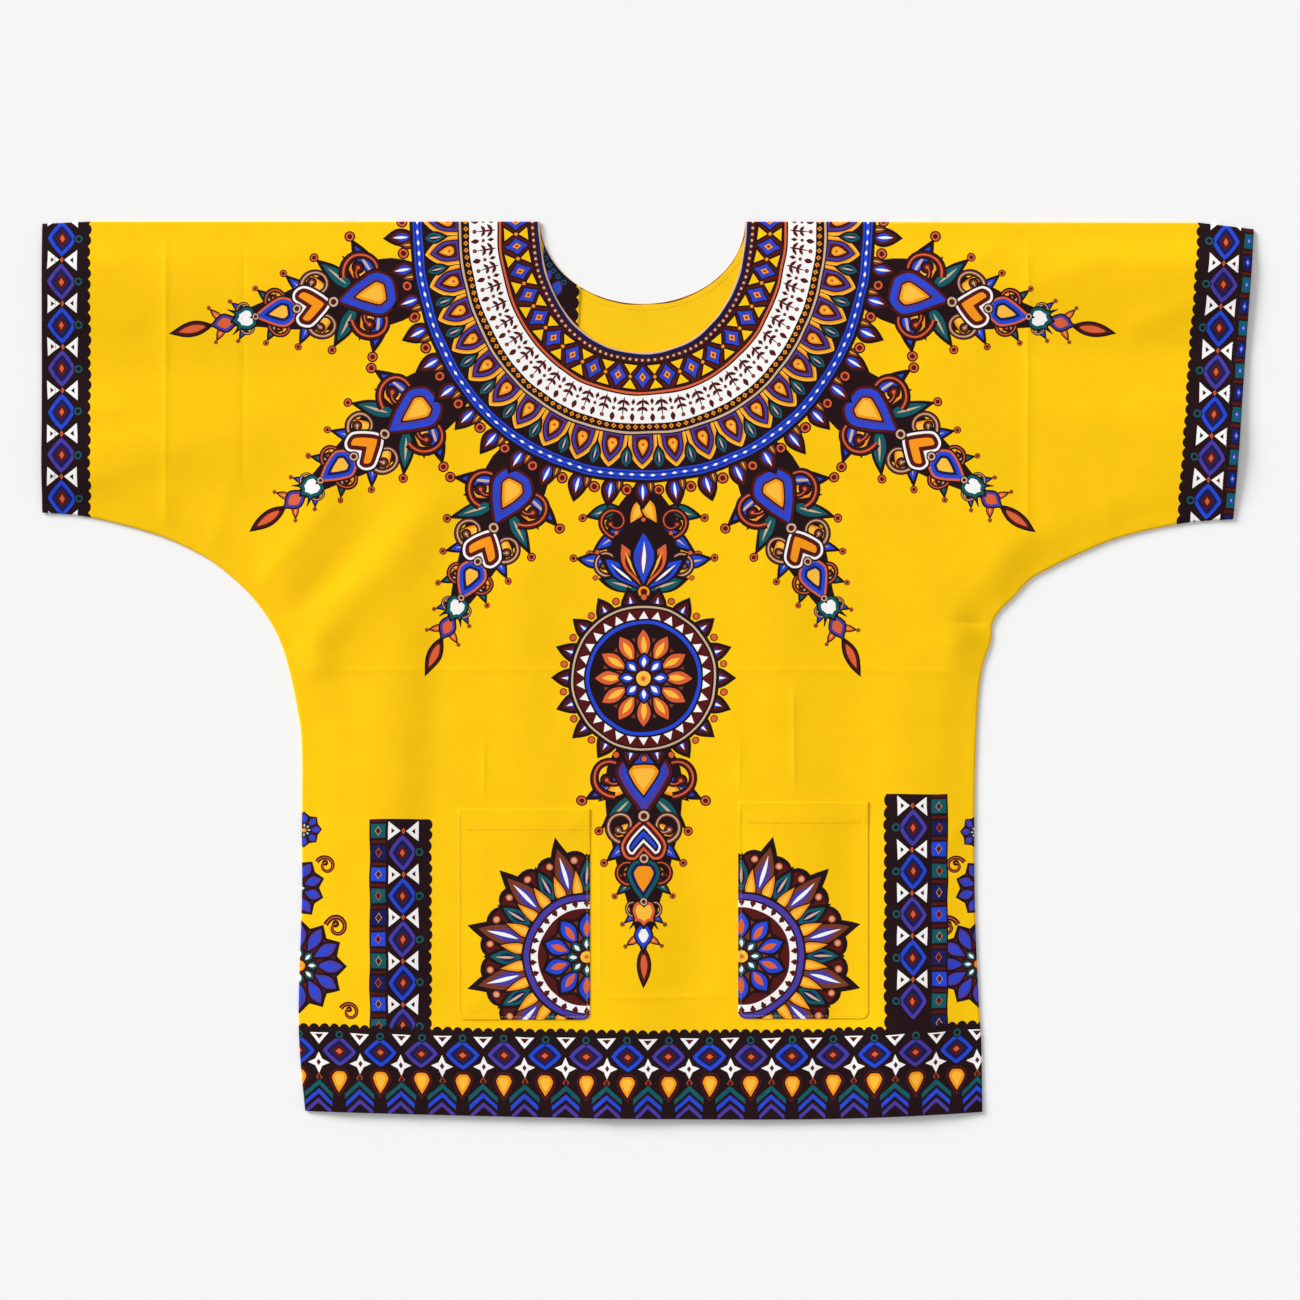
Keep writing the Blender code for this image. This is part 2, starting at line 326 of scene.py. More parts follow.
def inset(outline, by):
    """A closed outline moved inwards."""
    points = np.array(outline)
    both = left_of(points - np.roll(points, 1, 0)) + left_of(np.roll(points, -1, 0) - points)
    scale = 2 / np.maximum((both * both).sum(1), 0.5)  # no more than twice as far at a sharp tip
    return points + both * (scale * by)[:, None]


def area_of(outline):
    """The area inside an outline, minus if it runs clockwise."""
    x, y = outline[:, 0], outline[:, 1]
    return (x * np.roll(y, -1) - np.roll(x, -1) * y).sum() / 2


def first_crossing(outline):
    """The first two sides of a closed outline that cross, and where, or None."""
    start, along = outline, np.roll(outline, -1, 0) - outline
    for i in range(len(outline) - 2):
        others = np.arange(i + 2, len(outline) - (i == 0))
        gap = start[others] - start[i]
        cross = along[i, 0] * along[others, 1] - along[i, 1] * along[others, 0]
        cross = np.where(np.abs(cross) < 1e-9, np.inf, cross)
        here = (gap[:, 0] * along[others, 1] - gap[:, 1] * along[others, 0]) / cross
        there = (gap[:, 0] * along[i, 1] - gap[:, 1] * along[i, 0]) / cross
        met = (here > 0) & (here < 1) & (there > 0) & (there < 1)
        if met.any():
            k = int(np.argmax(met))
            return i, int(others[k]), start[i] + along[i] * here[k]
    return None


def untangled(outline):
    """A closed outline, with each loop cut off where it crosses itself."""
    while len(outline) > 3:
        crossing = first_crossing(outline)
        if crossing is None:
            return outline
        i, j, at = crossing
        loops = (
            np.concatenate([[at], outline[i + 1:j + 1]]),
            np.concatenate([outline[:i + 1], [at], outline[j + 1:]]),
        )
        outline = max(loops, key=area_of)
    return outline


def distance_to(points, *lines):
    """The distance of each point from the nearest of some runs of straight pieces."""
    best = np.full(len(points), np.inf)
    x, y = points[:, 0], points[:, 1]
    for line in lines:
        line = np.asarray(line, float)
        for (x0, y0), (dx, dy) in zip(line[:-1].tolist(), np.diff(line, axis=0).tolist()):
            across, up = x - x0, y - y0
            t = np.clip((across * dx + up * dy) / max(dx * dx + dy * dy, 1e-12), 0, 1)
            across -= t * dx
            up -= t * dy
            best = np.minimum(best, across * across + up * up)
    return np.sqrt(best)


# ---------------- heights, in millimetres

def soft_step(distance, width):
    t = np.clip(distance / width, 0, 1)
    return t * t * (3 - 2 * t)


def bell(distance, width):
    """1 at no distance, falling softly to nothing at about twice the width."""
    return np.exp(-((distance / width) ** 2))


def creased(points, rows, sharp=False):
    """The height that ridges and troughs add: round ones, or sharp ones as from an iron."""
    rise = np.zeros(len(points))
    for x0, drop0, x1, drop1, rise0, rise1, half_width in rows:
        start, end = place(x0, drop0), place(x1, drop1)
        along = end - start
        t = np.clip((points - start) @ along / (along @ along), 0, 1)
        gap = points - start - t[:, None] * along
        share = np.hypot(gap[:, 0], gap[:, 1]) / half_width
        if sharp:
            length = np.hypot(*along)
            fall = np.exp(-np.sqrt(share * share + 0.05) * 1.3)
            fall *= soft_step(np.minimum(t, 1 - t) * length, min(30.0, 0.4 * length))
        else:
            fall = np.exp(-share * share)
        rise += (rise0 + (rise1 - rise0) * t) * fall
    return rise


def rippled(points, pitch, seed):
    """Smooth noise from -1 to 1, with its features about a pitch across."""
    return np.array([noise.noise(Vector((x / pitch, y / pitch, seed))) for x, y in points])


def hemmed(distance, depth, points, seed):
    """A turned hem: a thicker edge, a stitched groove at its depth and small puckers beside it."""
    from_row = distance - (depth - ROW_IN)
    pucker = 0.3 * rippled(points, 7.0, seed) * bell(from_row, 7.0)
    rise = HEM_RISE * (1 - soft_step(distance - depth + 1.0, 2.5))
    return rise - GROOVE * bell(from_row, 1.5) + pucker


def front_surface(points):
    """The upper side of the front, before its edges are rolled."""
    sewn = distance_to(points, *SEWN)
    neck = distance_to(points, FRONT_NECK)
    loose = soft_step(sewn, SEAM_FADE)
    held = NECK_LIFT + (1 - NECK_LIFT) * soft_step(neck, NECK_FADE)
    folds = np.maximum(LOFT + creased(points, FOLDS), 0) * loose * held
    fine = creased(points, WRINKLES) * soft_step(sewn, 22.0)
    fine += creased(points, PRESSED, sharp=True) * soft_step(sewn, 9.0)
    fine += 0.32 * rippled(points, 46.0, 3.0) * loose
    fine += 0.09 * rippled(points, 13.0, 7.0) * soft_step(sewn, 12.0)
    seams = 0.35 * rippled(points, 9.0, 11.0) * bell(sewn - 6.0, 7.0)
    hems = (
        hemmed(distance_to(points, HEM_RUN), HEM_DEPTH, points, 17.0)
        + hemmed(distance_to(points, LEFT_CUFF_RUN, RIGHT_CUFF_RUN), CUFF_DEPTH, points, 19.0)
        + hemmed(neck, NECK_HEM, points, 23.0)
    )
    return FRONT_TOP + folds + fine + seams + hems


def back_surface(points):
    """The back's inner side. It lies flat, and shows only in the neck and at the open edges."""
    sewn = distance_to(points, *SEWN)
    neck = distance_to(points, BACK_NECK)
    soft = 0.22 * (rippled(points, 34.0, 29.0) - 1) * soft_step(sewn, 16.0)
    return BACK_TOP + soft + 0.6 * hemmed(neck, NECK_HEM, points, 31.0)


BODY_ROWS = (
    # run, how far in its stitches are
    (HEM_RUN, HEM_DEPTH - ROW_IN),
    (LEFT_CUFF_RUN, CUFF_DEPTH - ROW_IN),
    (RIGHT_CUFF_RUN, CUFF_DEPTH - ROW_IN),
)
FRONT_ROWS = (*BODY_ROWS, (FRONT_NECK, NECK_HEM - ROW_IN))
BACK_ROWS = (*BODY_ROWS, (BACK_NECK, NECK_HEM - ROW_IN))


def back_underside(points):
    """The side that lies on the floor, drawn in a little along its rows of stitches."""
    rows = (
        (distance_to(points, HEM_RUN), HEM_DEPTH),
        (distance_to(points, LEFT_CUFF_RUN, RIGHT_CUFF_RUN), CUFF_DEPTH),
        (distance_to(points, BACK_NECK), NECK_HEM),
    )
    height = np.full(len(points), FLOOR_CLEAR)
    for distance, depth in rows:
        height += GROOVE * bell(distance - depth + ROW_IN, 1.6)
    return height


def roll_share(edge, roll):
    """How much of its height a side keeps near a rolled edge: none at it, all beyond the roll."""
    left = 1 - np.clip(edge / roll, 0, 1)
    return np.sqrt(1 - left * left)


def rolled(points, surface, opposite, outline, seam_z):
    """A side's heights with its edges rolled over to meet the other side at the outline."""
    edge = distance_to(points, list(outline) + [outline[0]])
    near = edge < SEWN_ROLL
    heights = surface.copy()
    sewn = 1 - soft_step(distance_to(points[near], *SEWN), SEWN_REACH)
    meet = (surface[near] + opposite[near]) / 2
    meet = meet + (seam_z - meet) * sewn
    roll = OPEN_ROLL + (SEWN_ROLL - OPEN_ROLL) * sewn
    heights[near] = meet + (surface[near] - meet) * roll_share(edge[near], roll)
    return heights


# ---------------- shapes of the print

# Half outlines of motifs, one wide and one long, from the foot up. Each is mirrored.
DROP = ((0, 0), (0.30, 0.04), (0.5, 0.28), (0.38, 0.56), (0.14, 0.84), (0, 1))
HEART = ((0, 0), (0.25, 0.24), (0.5, 0.62), (0.41, 0.92), (0.18, 0.99), (0, 0.82))
TULIP = ((0, 0), (0.34, 0.07), (0.47, 0.38), (0.38, 0.68), (0.5, 1.0), (0.22, 0.78), (0, 1.0))
ONION = ((0, 0), (0.24, 0.02), (0.5, 0.3), (0.38, 0.54), (0.13, 0.72), (0.07, 0.86), (0, 1))


def both_halves(right):
    """A closed outline from its right half, from the foot to the tip."""
    left = right[::-1] * (-1, 1)
    return np.concatenate([right, left[1:-1]])


def shaped(half, width, length):
    """A motif's outline from a table of its right half, its foot at the origin."""
    step = float(np.clip(max(width, length) / 22, 0.9, 2.4))
    return both_halves(np.array(soft_curve(np.array(half, float) * (width, length), step)))


def oval(half_width, half_length):
    """An oval about the origin."""
    count = int(np.clip(6 + half_width + half_length, 8, 100))
    turn = np.arange(count) * 2 * math.pi / count
    return np.stack([half_width * np.cos(turn), half_length * np.sin(turn)], 1)


def disc(radius):
    return oval(radius, radius)


def leaf(width, length, belly=0.45):
    """A pointed leaf from the origin up, at its widest at the belly's share of its length."""
    t = np.linspace(0, 1, int(np.clip(5 + length / 3.6, 6, 20)))
    half = width / 2 * np.sin(math.pi * t ** (math.log(0.5) / math.log(belly)))
    return both_halves(np.stack([half, t * length], 1))


def lozenge(width, length, bow=0.0):
    """A lozenge about the origin, its sides bowed in by a share of its width, or out if minus."""
    corners = np.array(((width / 2, 0), (0, length / 2), (-width / 2, 0), (0, -length / 2)))
    if not bow:
        return corners
    points = []
    for start, end in zip(corners, np.roll(corners, -1, 0)):
        for t in (0, 0.2, 0.4, 0.6, 0.8):
            points.append((start + (end - start) * t) * (1 - 4 * bow * t * (1 - t)))
    return np.array(points)


def tooth(width, height):
    return np.array(((width / 2, 0), (0, height), (-width / 2, 0)))


def arch(width, height):
    """A pointed arch that stands on the origin, on straight feet for 0.4 of its height."""
    t = np.linspace(0, 1, 15)
    lean = np.cos(t * math.pi / 2) ** 0.8
    right = np.stack([width / 2 * lean, height * (0.4 + 0.6 * t)], 1)
    left = right[::-1] * (-1, 1)
    return np.concatenate([right, left[1:], ((-width / 2, 0), (width / 2, 0))])


def star(points, outer, inner):
    turn = np.arange(2 * points) * math.pi / points + math.pi / 2
    reach = np.where(np.arange(2 * points) % 2 == 0, outer, inner)
    return np.stack([reach * np.cos(turn), reach * np.sin(turn)], 1)


def lobed(radius, lobes, depth):
    """A disc with small round lobes along its edge."""
    turn = np.arange(lobes * 6) * 2 * math.pi / (lobes * 6)
    reach = radius + depth * np.abs(np.sin(turn * lobes / 2)) ** 0.7
    return np.stack([reach * np.sin(turn), -reach * np.cos(turn)], 1)


def chevron(width, rise, thick):
    """A V with its point at the origin."""
    return np.array((
        (0, 0), (width / 2, rise), (width / 2, rise + thick), (0, thick),
        (-width / 2, rise + thick), (-width / 2, rise),
    ))


def bar(width, height):
    side = width / 2
    return np.array(((-side, 0), (side, 0), (side, height), (-side, height)))


def hanging(outline):
    """An outline turned upside down."""
    return outline[::-1] * (1, -1)


def curl(radius, thick):
    """A tapering scroll from the origin upwards that curls round to the right, and its end."""
    t = np.linspace(0, 1, int(np.clip(11 + radius * 1.2, 15, 36)))
    turn = math.pi - t * 1.15 * 2 * math.pi
    reach = radius * (1 - 0.68 * t**0.85)
    middle = np.stack([radius + reach * np.cos(turn), reach * np.sin(turn)], 1)
    side = left_of(np.gradient(middle, axis=0)) * (thick / 2 * (1 - 0.45 * t))[:, None]
    return np.concatenate([middle - side, (middle + side)[::-1]]), middle[-1]


# ---------------- motifs: lists of (ink, points)

def ringed(outline, *rows):
    """An outline in several inks, each drawn in from the one before by its own width."""
    motif, inwards = [], 0.0
    closed = np.concatenate([outline, outline[:1]])
    for ink, by in rows:
        inwards += by
        ring = inset(outline, inwards)
        # at a tip or in a narrow neck the ring would cross itself
        ring = untangled(ring[distance_to(ring, closed) > inwards * 0.97 - 1e-6])
        if len(ring) > 2 and area_of(ring) > 0.5:
            motif.append((ink, ring))
    return motif


def moved(motif, x=0.0, y=0.0, turn=0.0, size=1.0):
    """A motif turned anticlockwise, scaled and moved."""
    c, s = math.cos(turn), math.sin(turn)
    spin = np.array(((c, s), (-s, c)))
    return [(ink, points @ spin * size + (x, y)) for ink, points in motif]


def sided(motif, way):
    """A motif as it is for way 1, or turned left to right for way -1."""
    return [(ink, points * (way, 1)) for ink, points in motif]


def mirrored(motif):
    return motif + sided(motif, -1)


def wreath(count, *rows):
    """Motifs all round the origin. A row is a motif, how far out, and its share of a step on."""
    motif = []
    for k in range(count):
        for part, out, on in rows:
            motif += moved(moved(part, y=out), turn=2 * math.pi * (k + on) / count)
    return motif


def bead(radius, *inks):
    """Discs in a row of inks, from the outside in."""
    shares = (1.0, 0.76, 0.46, 0.22)
    return [(ink, disc(radius * share)) for ink, share in zip(inks, shares)]


def discs(*rows):
    return [(ink, disc(radius)) for ink, radius in rows]


def gem(width, length, inks):
    """A lozenge about the origin with a smaller one inside it for each ink."""
    shares = (1.0, 0.82, 0.55, 0.34, 0.14)
    return [
        (ink, lozenge(width * share, length * share, 0.08)) for ink, share in zip(inks, shares)
    ]


def blade(width, length, inks=("black", "blue", "navy"), vein="white", belly=0.45):
    """A leaf in nested inks with a pale vein."""
    motif = []
    for i, ink in enumerate(inks):
        share = 1 - 0.27 * i
        motif.append((ink, leaf(width * share, length * share, belly) + (0, length * 0.11 * i)))
    return motif + [(vein, leaf(width * 0.14, length * 0.46) + (0, length * 0.26))]


def scroll(radius, inks=("black", "maroon", "coral")):
    """A curl with an outline, a body and a bright line along it, ending in a knob."""
    motif = []
    for ink, thick, knob in zip(inks, (0.46, 0.2668, 0.092), (0.32, 0.21, 0.09)):
        band, end = curl(radius, radius * thick)
        motif += [(ink, band), (ink, disc(radius * knob) + end)]
    return motif


def flame(width, length):
    return ringed(shaped(DROP, width, length), ("black", 0), ("orange", width * 0.1),
                  ("amber", width * 0.16))


def rosette(radius, petals, petal="blue", inner="violet", core="orange", rim="maroon"):
    """Pointed petals round a core, on a dark star."""
    motif = [("black", star(petals, radius, radius * 0.82)), (rim, disc(radius * 0.77))]
    wide = 2 * math.pi * radius * 0.6 / petals
    nested = [
        ("black", leaf(wide * 1.12, radius * 0.68, 0.55)),
        (petal, leaf(wide * 0.8, radius * 0.56, 0.55) + (0, radius * 0.06)),
        (inner, leaf(wide * 0.36, radius * 0.36, 0.5) + (0, radius * 0.14)),
    ]
    motif += wreath(petals, (nested, radius * 0.29, 0))
    motif += bead(radius * 0.37, "black", core, "amber")
    return motif + [("coral", star(petals, radius * 0.15, radius * 0.07))]


def sprig(height):
    """A stem with paired leaves and a bud."""
    motif = [("maroon", leaf(1.8, height * 0.96, 0.3))]
    for foot, length in ((0.14, 0.36), (0.44, 0.29)):
        side = [("maroon", leaf(3.1, height * length))]
        motif += mirrored(moved(side, y=height * foot, turn=-math.radians(52)))
    bud = discs(("maroon", height * 0.09), ("coral", height * 0.035))
    return motif + moved(bud, y=height * 0.9)


# ---------------- layout of the print

class Print:
    """Inked shapes in the shirt's plan, each drawn over those before it."""

    def __init__(self):
        self.inks = []
        self.shapes = []

    def add(self, ink, points):
        points = np.asarray(points, float)
        self.inks.append(ink)
        self.shapes.append(points if area_of(points) > 0 else points[::-1])

    def stamp(self, motif, at, turn=0.0, size=1.0):
        for ink, points in moved(motif, at[0], at[1], turn, size):
            self.add(ink, points)


PAST_SHOULDER = 0.09  # radians


def yoke_ring(drop, out):
    """Points of the ring "out" from a neckline, running a little past both shoulders."""
    first, last = -PAST_SHOULDER, math.pi + PAST_SHOULDER
    return [
        neck_point(first + (last - first) * i / 140, drop, FRONT_SQUARENESS, out)
        for i in range(141)
    ]


def ring_places(drop, out, count):
    """Evenly spaced places along a ring, both shoulder ends included, and the way out there."""
    fine, beyond = (
        np.array([neck_point(math.pi * i / 240, drop, FRONT_SQUARENESS, to) for i in range(241)])
        for to in (out, out + 8)
    )
    run = np.concatenate([[0], np.cumsum(np.hypot(*np.diff(fine, axis=0).T))])
    for i in range(count + 1):
        at = run[-1] * i / count
        point = np.array([np.interp(at, run, fine[:, k]) for k in (0, 1)])
        ahead = np.array([np.interp(at, run, beyond[:, k]) for k in (0, 1)]) - point
        yield point, math.atan2(ahead[1], ahead[0]) - math.pi / 2


def draw_bands(sheet, drop, *rows):
    for inner, outer, ink in rows:
        sheet.add(ink, np.array(yoke_ring(drop, inner) + yoke_ring(drop, outer)[::-1]))


def draw_ring(sheet, drop, out, count, *motifs):
    """Motifs by turns at the places along a ring, upright to it. An empty one leaves a gap."""
    for i, (at, turn) in enumerate(ring_places(drop, out, count)):
        sheet.stamp(motifs[i % len(motifs)], at, turn)


def draw_yoke(sheet, drop):
    """The rings round the neck, from the edge outwards."""
    # the sand band from -4 to 1.5 along the neck's edge is partly the rolled edge's own pale tone
    # and partly a painted highlight on its fold
    draw_bands(sheet, drop, (-4, 117, "black"), (-4, 1.5, "sand"), (1.5, 4.0, "navy"),
               (4.8, 9.0, "maroon"))
    draw_ring(sheet, drop, 6.9, 64, [("sand", disc(1.35))])
    # lozenges between yellow teeth
    draw_bands(sheet, drop, (10.2, 35.4, "maroon"))
    teeth = ringed(tooth(18.5, 13.0) + (0, -12.6), ("black", 0), ("yellow", 1.7))
    teeth += ringed(hanging(tooth(18.5, 13.0)) + (0, 12.6), ("black", 0), ("yellow", 1.7))
    teeth += bead(2.2, "black", "orange")
    gems = gem(19, 25.4, ("black", "blue", "violet", "orange", "maroon"))
    draw_ring(sheet, drop, 22.8, 36, gems, teeth)
    draw_bands(sheet, drop, (35.4, 36.6, "black"), (36.6, 38.6, "coral"))
    # sprigs on white
    draw_bands(sheet, drop, (40.0, 66.0, "white"))
    buds = [("maroon", lozenge(3.8, 6.6) + (0, 4.4)), ("brown", disc(1.7) + (0, 11.6)),
            ("maroon", leaf(4.6, 8.4) + (0, 15.2))]
    draw_ring(sheet, drop, 41.4, 58, buds, sprig(22.0))
    # arches, with a flame in each, on a pale line that hides their feet
    arches = ringed(arch(28, 38.1), ("black", 0), ("amber", 0.8), ("orange", 1.6),
                    ("black", 1.6), ("violet", 1.2), ("maroon", 2.2))
    arches += moved(flame(11.0, 17.5) + [("coral", disc(1.7) + (0, 5.4))], y=9.2)
    draw_ring(sheet, drop, 70.6, 22, arches)
    draw_bands(sheet, drop, (70.0, 76.8, "black"), (73.4, 75.4, "sand"))
    draw_ring(sheet, drop, 69.2, 84,
              [("orange", lozenge(4.8, 4.8)), ("maroon", lozenge(2.0, 2.0))])
    leaves = moved(blade(12, 24, ("black", "teal", "navy"), "sand"), turn=math.pi)
    draw_ring(sheet, drop, 109.0, 44, [], leaves)
    # the blue rim
    draw_bands(sheet, drop, (109.0, 117.6, "blue"), (110.6, 111.6, "navy"),
               (115.0, 116.0, "navy"))
    draw_ring(sheet, drop, 113.3, 72, [("white", lozenge(5.4, 2.6))])
    draw_bands(sheet, drop, (117.6, 120.6, "black"))


def draw_fringe(sheet, drop):
    """Leaves and beads round the outside of the yoke."""
    draw_ring(sheet, drop, 114.0, 50, moved(bead(5.4, "black", "coral", "maroon"), y=13.6),
              blade(18, 32, ("black", "maroon", "blue"), "white"))
    draw_ring(sheet, drop, 114.0, 100, [], blade(8.4, 19, ("black", "brown"), "amber"), [], [])


RAY_GEMS = (
    # half outline, foot, width, length, inks with the width drawn in
    (DROP, 24, 46, 64, (("black", 0), ("maroon", 1.8), ("blue", 2.6), ("violet", 4.2),
                        ("black", 2.8), ("orange", 1.4), ("amber", 2.4))),
    (HEART, 84, 42, 40, (("black", 0), ("white", 1.8), ("maroon", 2.2), ("orange", 3.8))),
    (DROP, 119, 31, 45, (("black", 0), ("coral", 1.6), ("blue", 2.0), ("navy", 3.4),
                         ("amber", 2.6))),
    (TULIP, 157, 24, 26, (("black", 0), ("teal", 1.6), ("white", 2.8))),
    (ONION, 178, 18, 29, (("black", 0), ("violet", 1.6), ("coral", 2.4))),
)
RAY_SCROLLS = (
    # x, y, radius, turn in degrees, body ink
    (20, 72, 19.5, -82, "maroon"),
    (14, 112, 15.0, -74, "brown"),
    (9, 147, 11.0, -72, "maroon"),
    (5, 174, 7.5, -66, "brown"),
)
RAY_LEAVES = (
    # x, y, width, length, turn in degrees, body ink
    (4, 40, 19, 54, -70, "blue"),
    (4, 62, 16, 50, -50, "teal"),
    (4, 100, 13, 38, -50, "blue"),
    (3, 134, 10.5, 29, -48, "teal"),
    (1, 164, 8, 22, -50, "blue"),
    (1, 188, 7.5, 18, -54, "coral"),
)
RAY_FLAMES = (
    # x, y, width, length, turn in degrees
    (12, 52, 15, 33, -58),
    (9, 92, 12, 25, -62),
    (6, 128, 9, 19, -60),
)


def branch(leaves, flames, scrolls):
    """Both sides of a branching motif: leaves with berries, then flames and scrolls over them."""
    side = []
    for x, y, width, length, turn, ink in leaves:
        turn, berry = math.radians(turn), width * 0.27
        tip = np.array((-math.sin(turn), math.cos(turn))) * (length + berry * 0.4) + (x, y)
        side += moved(blade(width, length, ("black", ink), "amber" if ink == "coral" else "sand"),
                      x, y, turn)
        side += moved(bead(berry, "black", "coral", "maroon"), *tip)
    for x, y, width, length, turn in flames:
        side += moved(flame(width, length), x, y, math.radians(turn))
    for x, y, radius, turn, ink in scrolls:
        inks = ("black", ink, "coral" if ink == "maroon" else "sand")
        side += moved(scroll(radius, inks), x, y, math.radians(turn))
    return mirrored(side)


def strung(gems, beads):
    """Gems one after another along an axis, the far ones under the near ones, tied by beads."""
    motif = []
    for half, foot, width, length, rows in gems[::-1]:
        motif += moved(ringed(shaped(half, width, length), *rows), y=foot)
    for y, radius in beads:
        motif += moved(bead(radius, "black", "sand", "maroon"), y=y)
    return motif


def ray():
    """A tapering spray of drops and hearts, with scrolls, leaves and berries at its sides."""
    motif = [("black", leaf(62, 206, 0.26) + (0, -8))]
    motif += branch(RAY_LEAVES, RAY_FLAMES, RAY_SCROLLS)
    motif += moved(ringed(leaf(14, 42), ("black", 0), ("maroon", 1.8), ("coral", 2.0)), y=198)
    return motif + strung(RAY_GEMS, ((85, 6.0), (120, 5.0), (158, 3.8)))


def draw_rays(sheet, drop, rows):
    motif = ray()
    for angle, out, size, lean in rows:
        at = neck_point(math.radians(angle), drop, FRONT_SQUARENESS, out)
        sheet.stamp(motif, at, -math.radians(angle + lean) - math.pi / 2, size)


PENDANT_GEMS = (
    # half outline, foot, width, length, inks with the width drawn in
    (DROP, 238, 56, 66, (("black", 0), ("maroon", 2.0), ("violet", 3.0), ("blue", 4.6),
                         ("black", 3.0), ("orange", 1.8), ("amber", 3.0))),
    (HEART, 298, 46, 44, (("black", 0), ("coral", 2.0), ("maroon", 2.2), ("white", 3.0),
                          ("black", 2.0), ("blue", 1.8))),
    (DROP, 338, 33, 46, (("black", 0), ("teal", 1.8), ("navy", 3.2), ("orange", 2.8))),
    (TULIP, 376, 26, 28, (("black", 0), ("coral", 1.8), ("amber", 2.6))),
    (ONION, 399, 18, 30, (("black", 0), ("blue", 1.6), ("white", 2.8))),
)
PENDANT_SCROLLS = (
    # x, y, radius, turn in degrees, body ink
    (28, 42, 15.0, -96, "maroon"),
    (31, 78, 13.0, -78, "brown"),
    (27, 282, 20.0, -84, "maroon"),
    (16, 324, 16.0, -76, "brown"),
    (11, 362, 12.5, -74, "maroon"),
    (6, 392, 8.5, -66, "brown"),
)
PENDANT_LEAVES = (
    # x, y, width, length, turn in degrees, body ink
    (20, 14, 15, 36, -74, "teal"),
    (14, 30, 15, 44, -52, "blue"),
    (30, 66, 14, 34, -98, "blue"),
    (6, 262, 19, 54, -66, "blue"),
    (5, 276, 16, 50, -44, "teal"),
    (5, 316, 14, 40, -50, "blue"),
    (3, 352, 11, 31, -48, "teal"),
    (1, 384, 8.5, 23, -50, "blue"),
    (1, 408, 7.5, 19, -54, "coral"),
)
PENDANT_FLAMES = (
    # x, y, width, length, turn in degrees
    (0, 6, 15, 34, -24),
    (14, 268, 15, 34, -58),
    (10, 308, 12, 26, -60),
    (7, 346, 9.5, 20, -60),
)
LOTUS = (
    # lean in degrees, width, length, inks, vein
    (74, 15, 44, ("black", "teal"), "sand"),
    (50, 18, 54, ("black", "blue", "navy"), "white"),
    (25, 19, 58, ("black", "coral", "maroon"), "amber"),
    (0, 25, 64, ("black", "blue", "violet"), "white"),
)


def lotus():
    """A fan of pointed petals on one foot, the middle one on top."""
    motif = [("black", leaf(62, 70, 0.6))]
    for lean, width, length, inks, vein in LOTUS:
        petal = blade(width, length, inks, vein, 0.55)
        petal += moved(bead(2.6, "black", "coral"), y=length + 2.2)
        petal = moved(petal, turn=-math.radians(lean))
        motif += mirrored(petal) if lean else petal
    return motif + bead(7.0, "black", "orange", "maroon")


def medallion():
    """A rosette in rings, with leaves round it."""
    leaves = blade(19, 34, ("black", "maroon", "blue"), "white")
    motif = wreath(18, (leaves, 52, 0.5), (bead(3.6, "black", "coral"), 75, 0))
    motif += discs(("black", 70), ("sand", 67), ("black", 65.2), ("maroon", 63.6))
    motif += wreath(30, ([("white", tooth(9.6, 8.4))], 53.8, 0))
    motif += discs(("black", 55), ("blue", 53.2), ("black", 50))
    motif += rosette(49, 12, "coral", "amber", "orange", "brown")
    return motif + rosette(24, 8, "blue", "white", "amber", "maroon")


def draw_pendant(sheet, top):
    """The column down the middle: a lotus, a medallion and a long tail."""
    motif = [("black", leaf(70, 124, 0.5) + (0, -16)), ("black", leaf(72, 210, 0.26) + (0, 222))]
    motif += branch(PENDANT_LEAVES, PENDANT_FLAMES, PENDANT_SCROLLS)
    motif += moved(ringed(leaf(14, 40), ("black", 0), ("maroon", 1.8), ("coral", 2.0)), y=419)
    motif += strung(PENDANT_GEMS, ((299, 6.6), (339, 5.6), (378, 4.4)))
    motif += moved(lotus(), y=92, turn=math.pi)
    motif += moved(medallion(), y=172)
    sheet.stamp(motif, (NECK_X + 1, FOLD_Y - top), math.pi)


def scalloped(start, end, depth, lobes):
    """A run of small round lobes along a straight line, standing out to its left."""
    start, end = np.array(start, float), np.array(end, float)
    along = (end - start) / lobes
    out = np.array((-along[1], along[0])) / np.hypot(*along) * depth
    turn = np.linspace(0, 1, 6)[:-1]
    run = [start + along * (k + t) + out * math.sin(math.pi * t) ** 0.7
           for k in range(lobes) for t in turn]
    return run + [end]


LINK_PITCH = 40.0  # of the chain in an upright border
LINK_WIDTH = 44
RUNG_PITCH = 20.0  # of the ladder beside it
HEM_PITCH = 38.0  # of the border along the bottom
LOBE = 2.6  # how far the lobes of an upright border stand out


def chain_link(inner_ink):
    """One repeat of an upright border's chain: an eye, and what fills the gaps beside it."""
    eye = ringed(lozenge(30, 38, -0.12), ("black", 0), (inner_ink, 1.8), ("navy", 3.2),
                 ("maroon", 3.2))
    link = moved(eye + [("coral", lozenge(4.6, 7.6))], x=18.6)
    gap = ringed(tooth(17.5, 11), ("white", 0), ("maroon", 3.0))
    link += moved(gap, x=5.4, y=20, turn=-math.pi / 2)
    link += moved(ringed(tooth(19, 11.5), ("white", 0), ("black", 3.2)), x=33.0, y=20,
                  turn=math.pi / 2)
    link += moved(bead(4.8, "black", "teal", "black"), x=34.0)
    return link + moved([("coral", lozenge(3.4, 5.8)), ("maroon", lozenge(1.4, 2.4))], x=19, y=20)


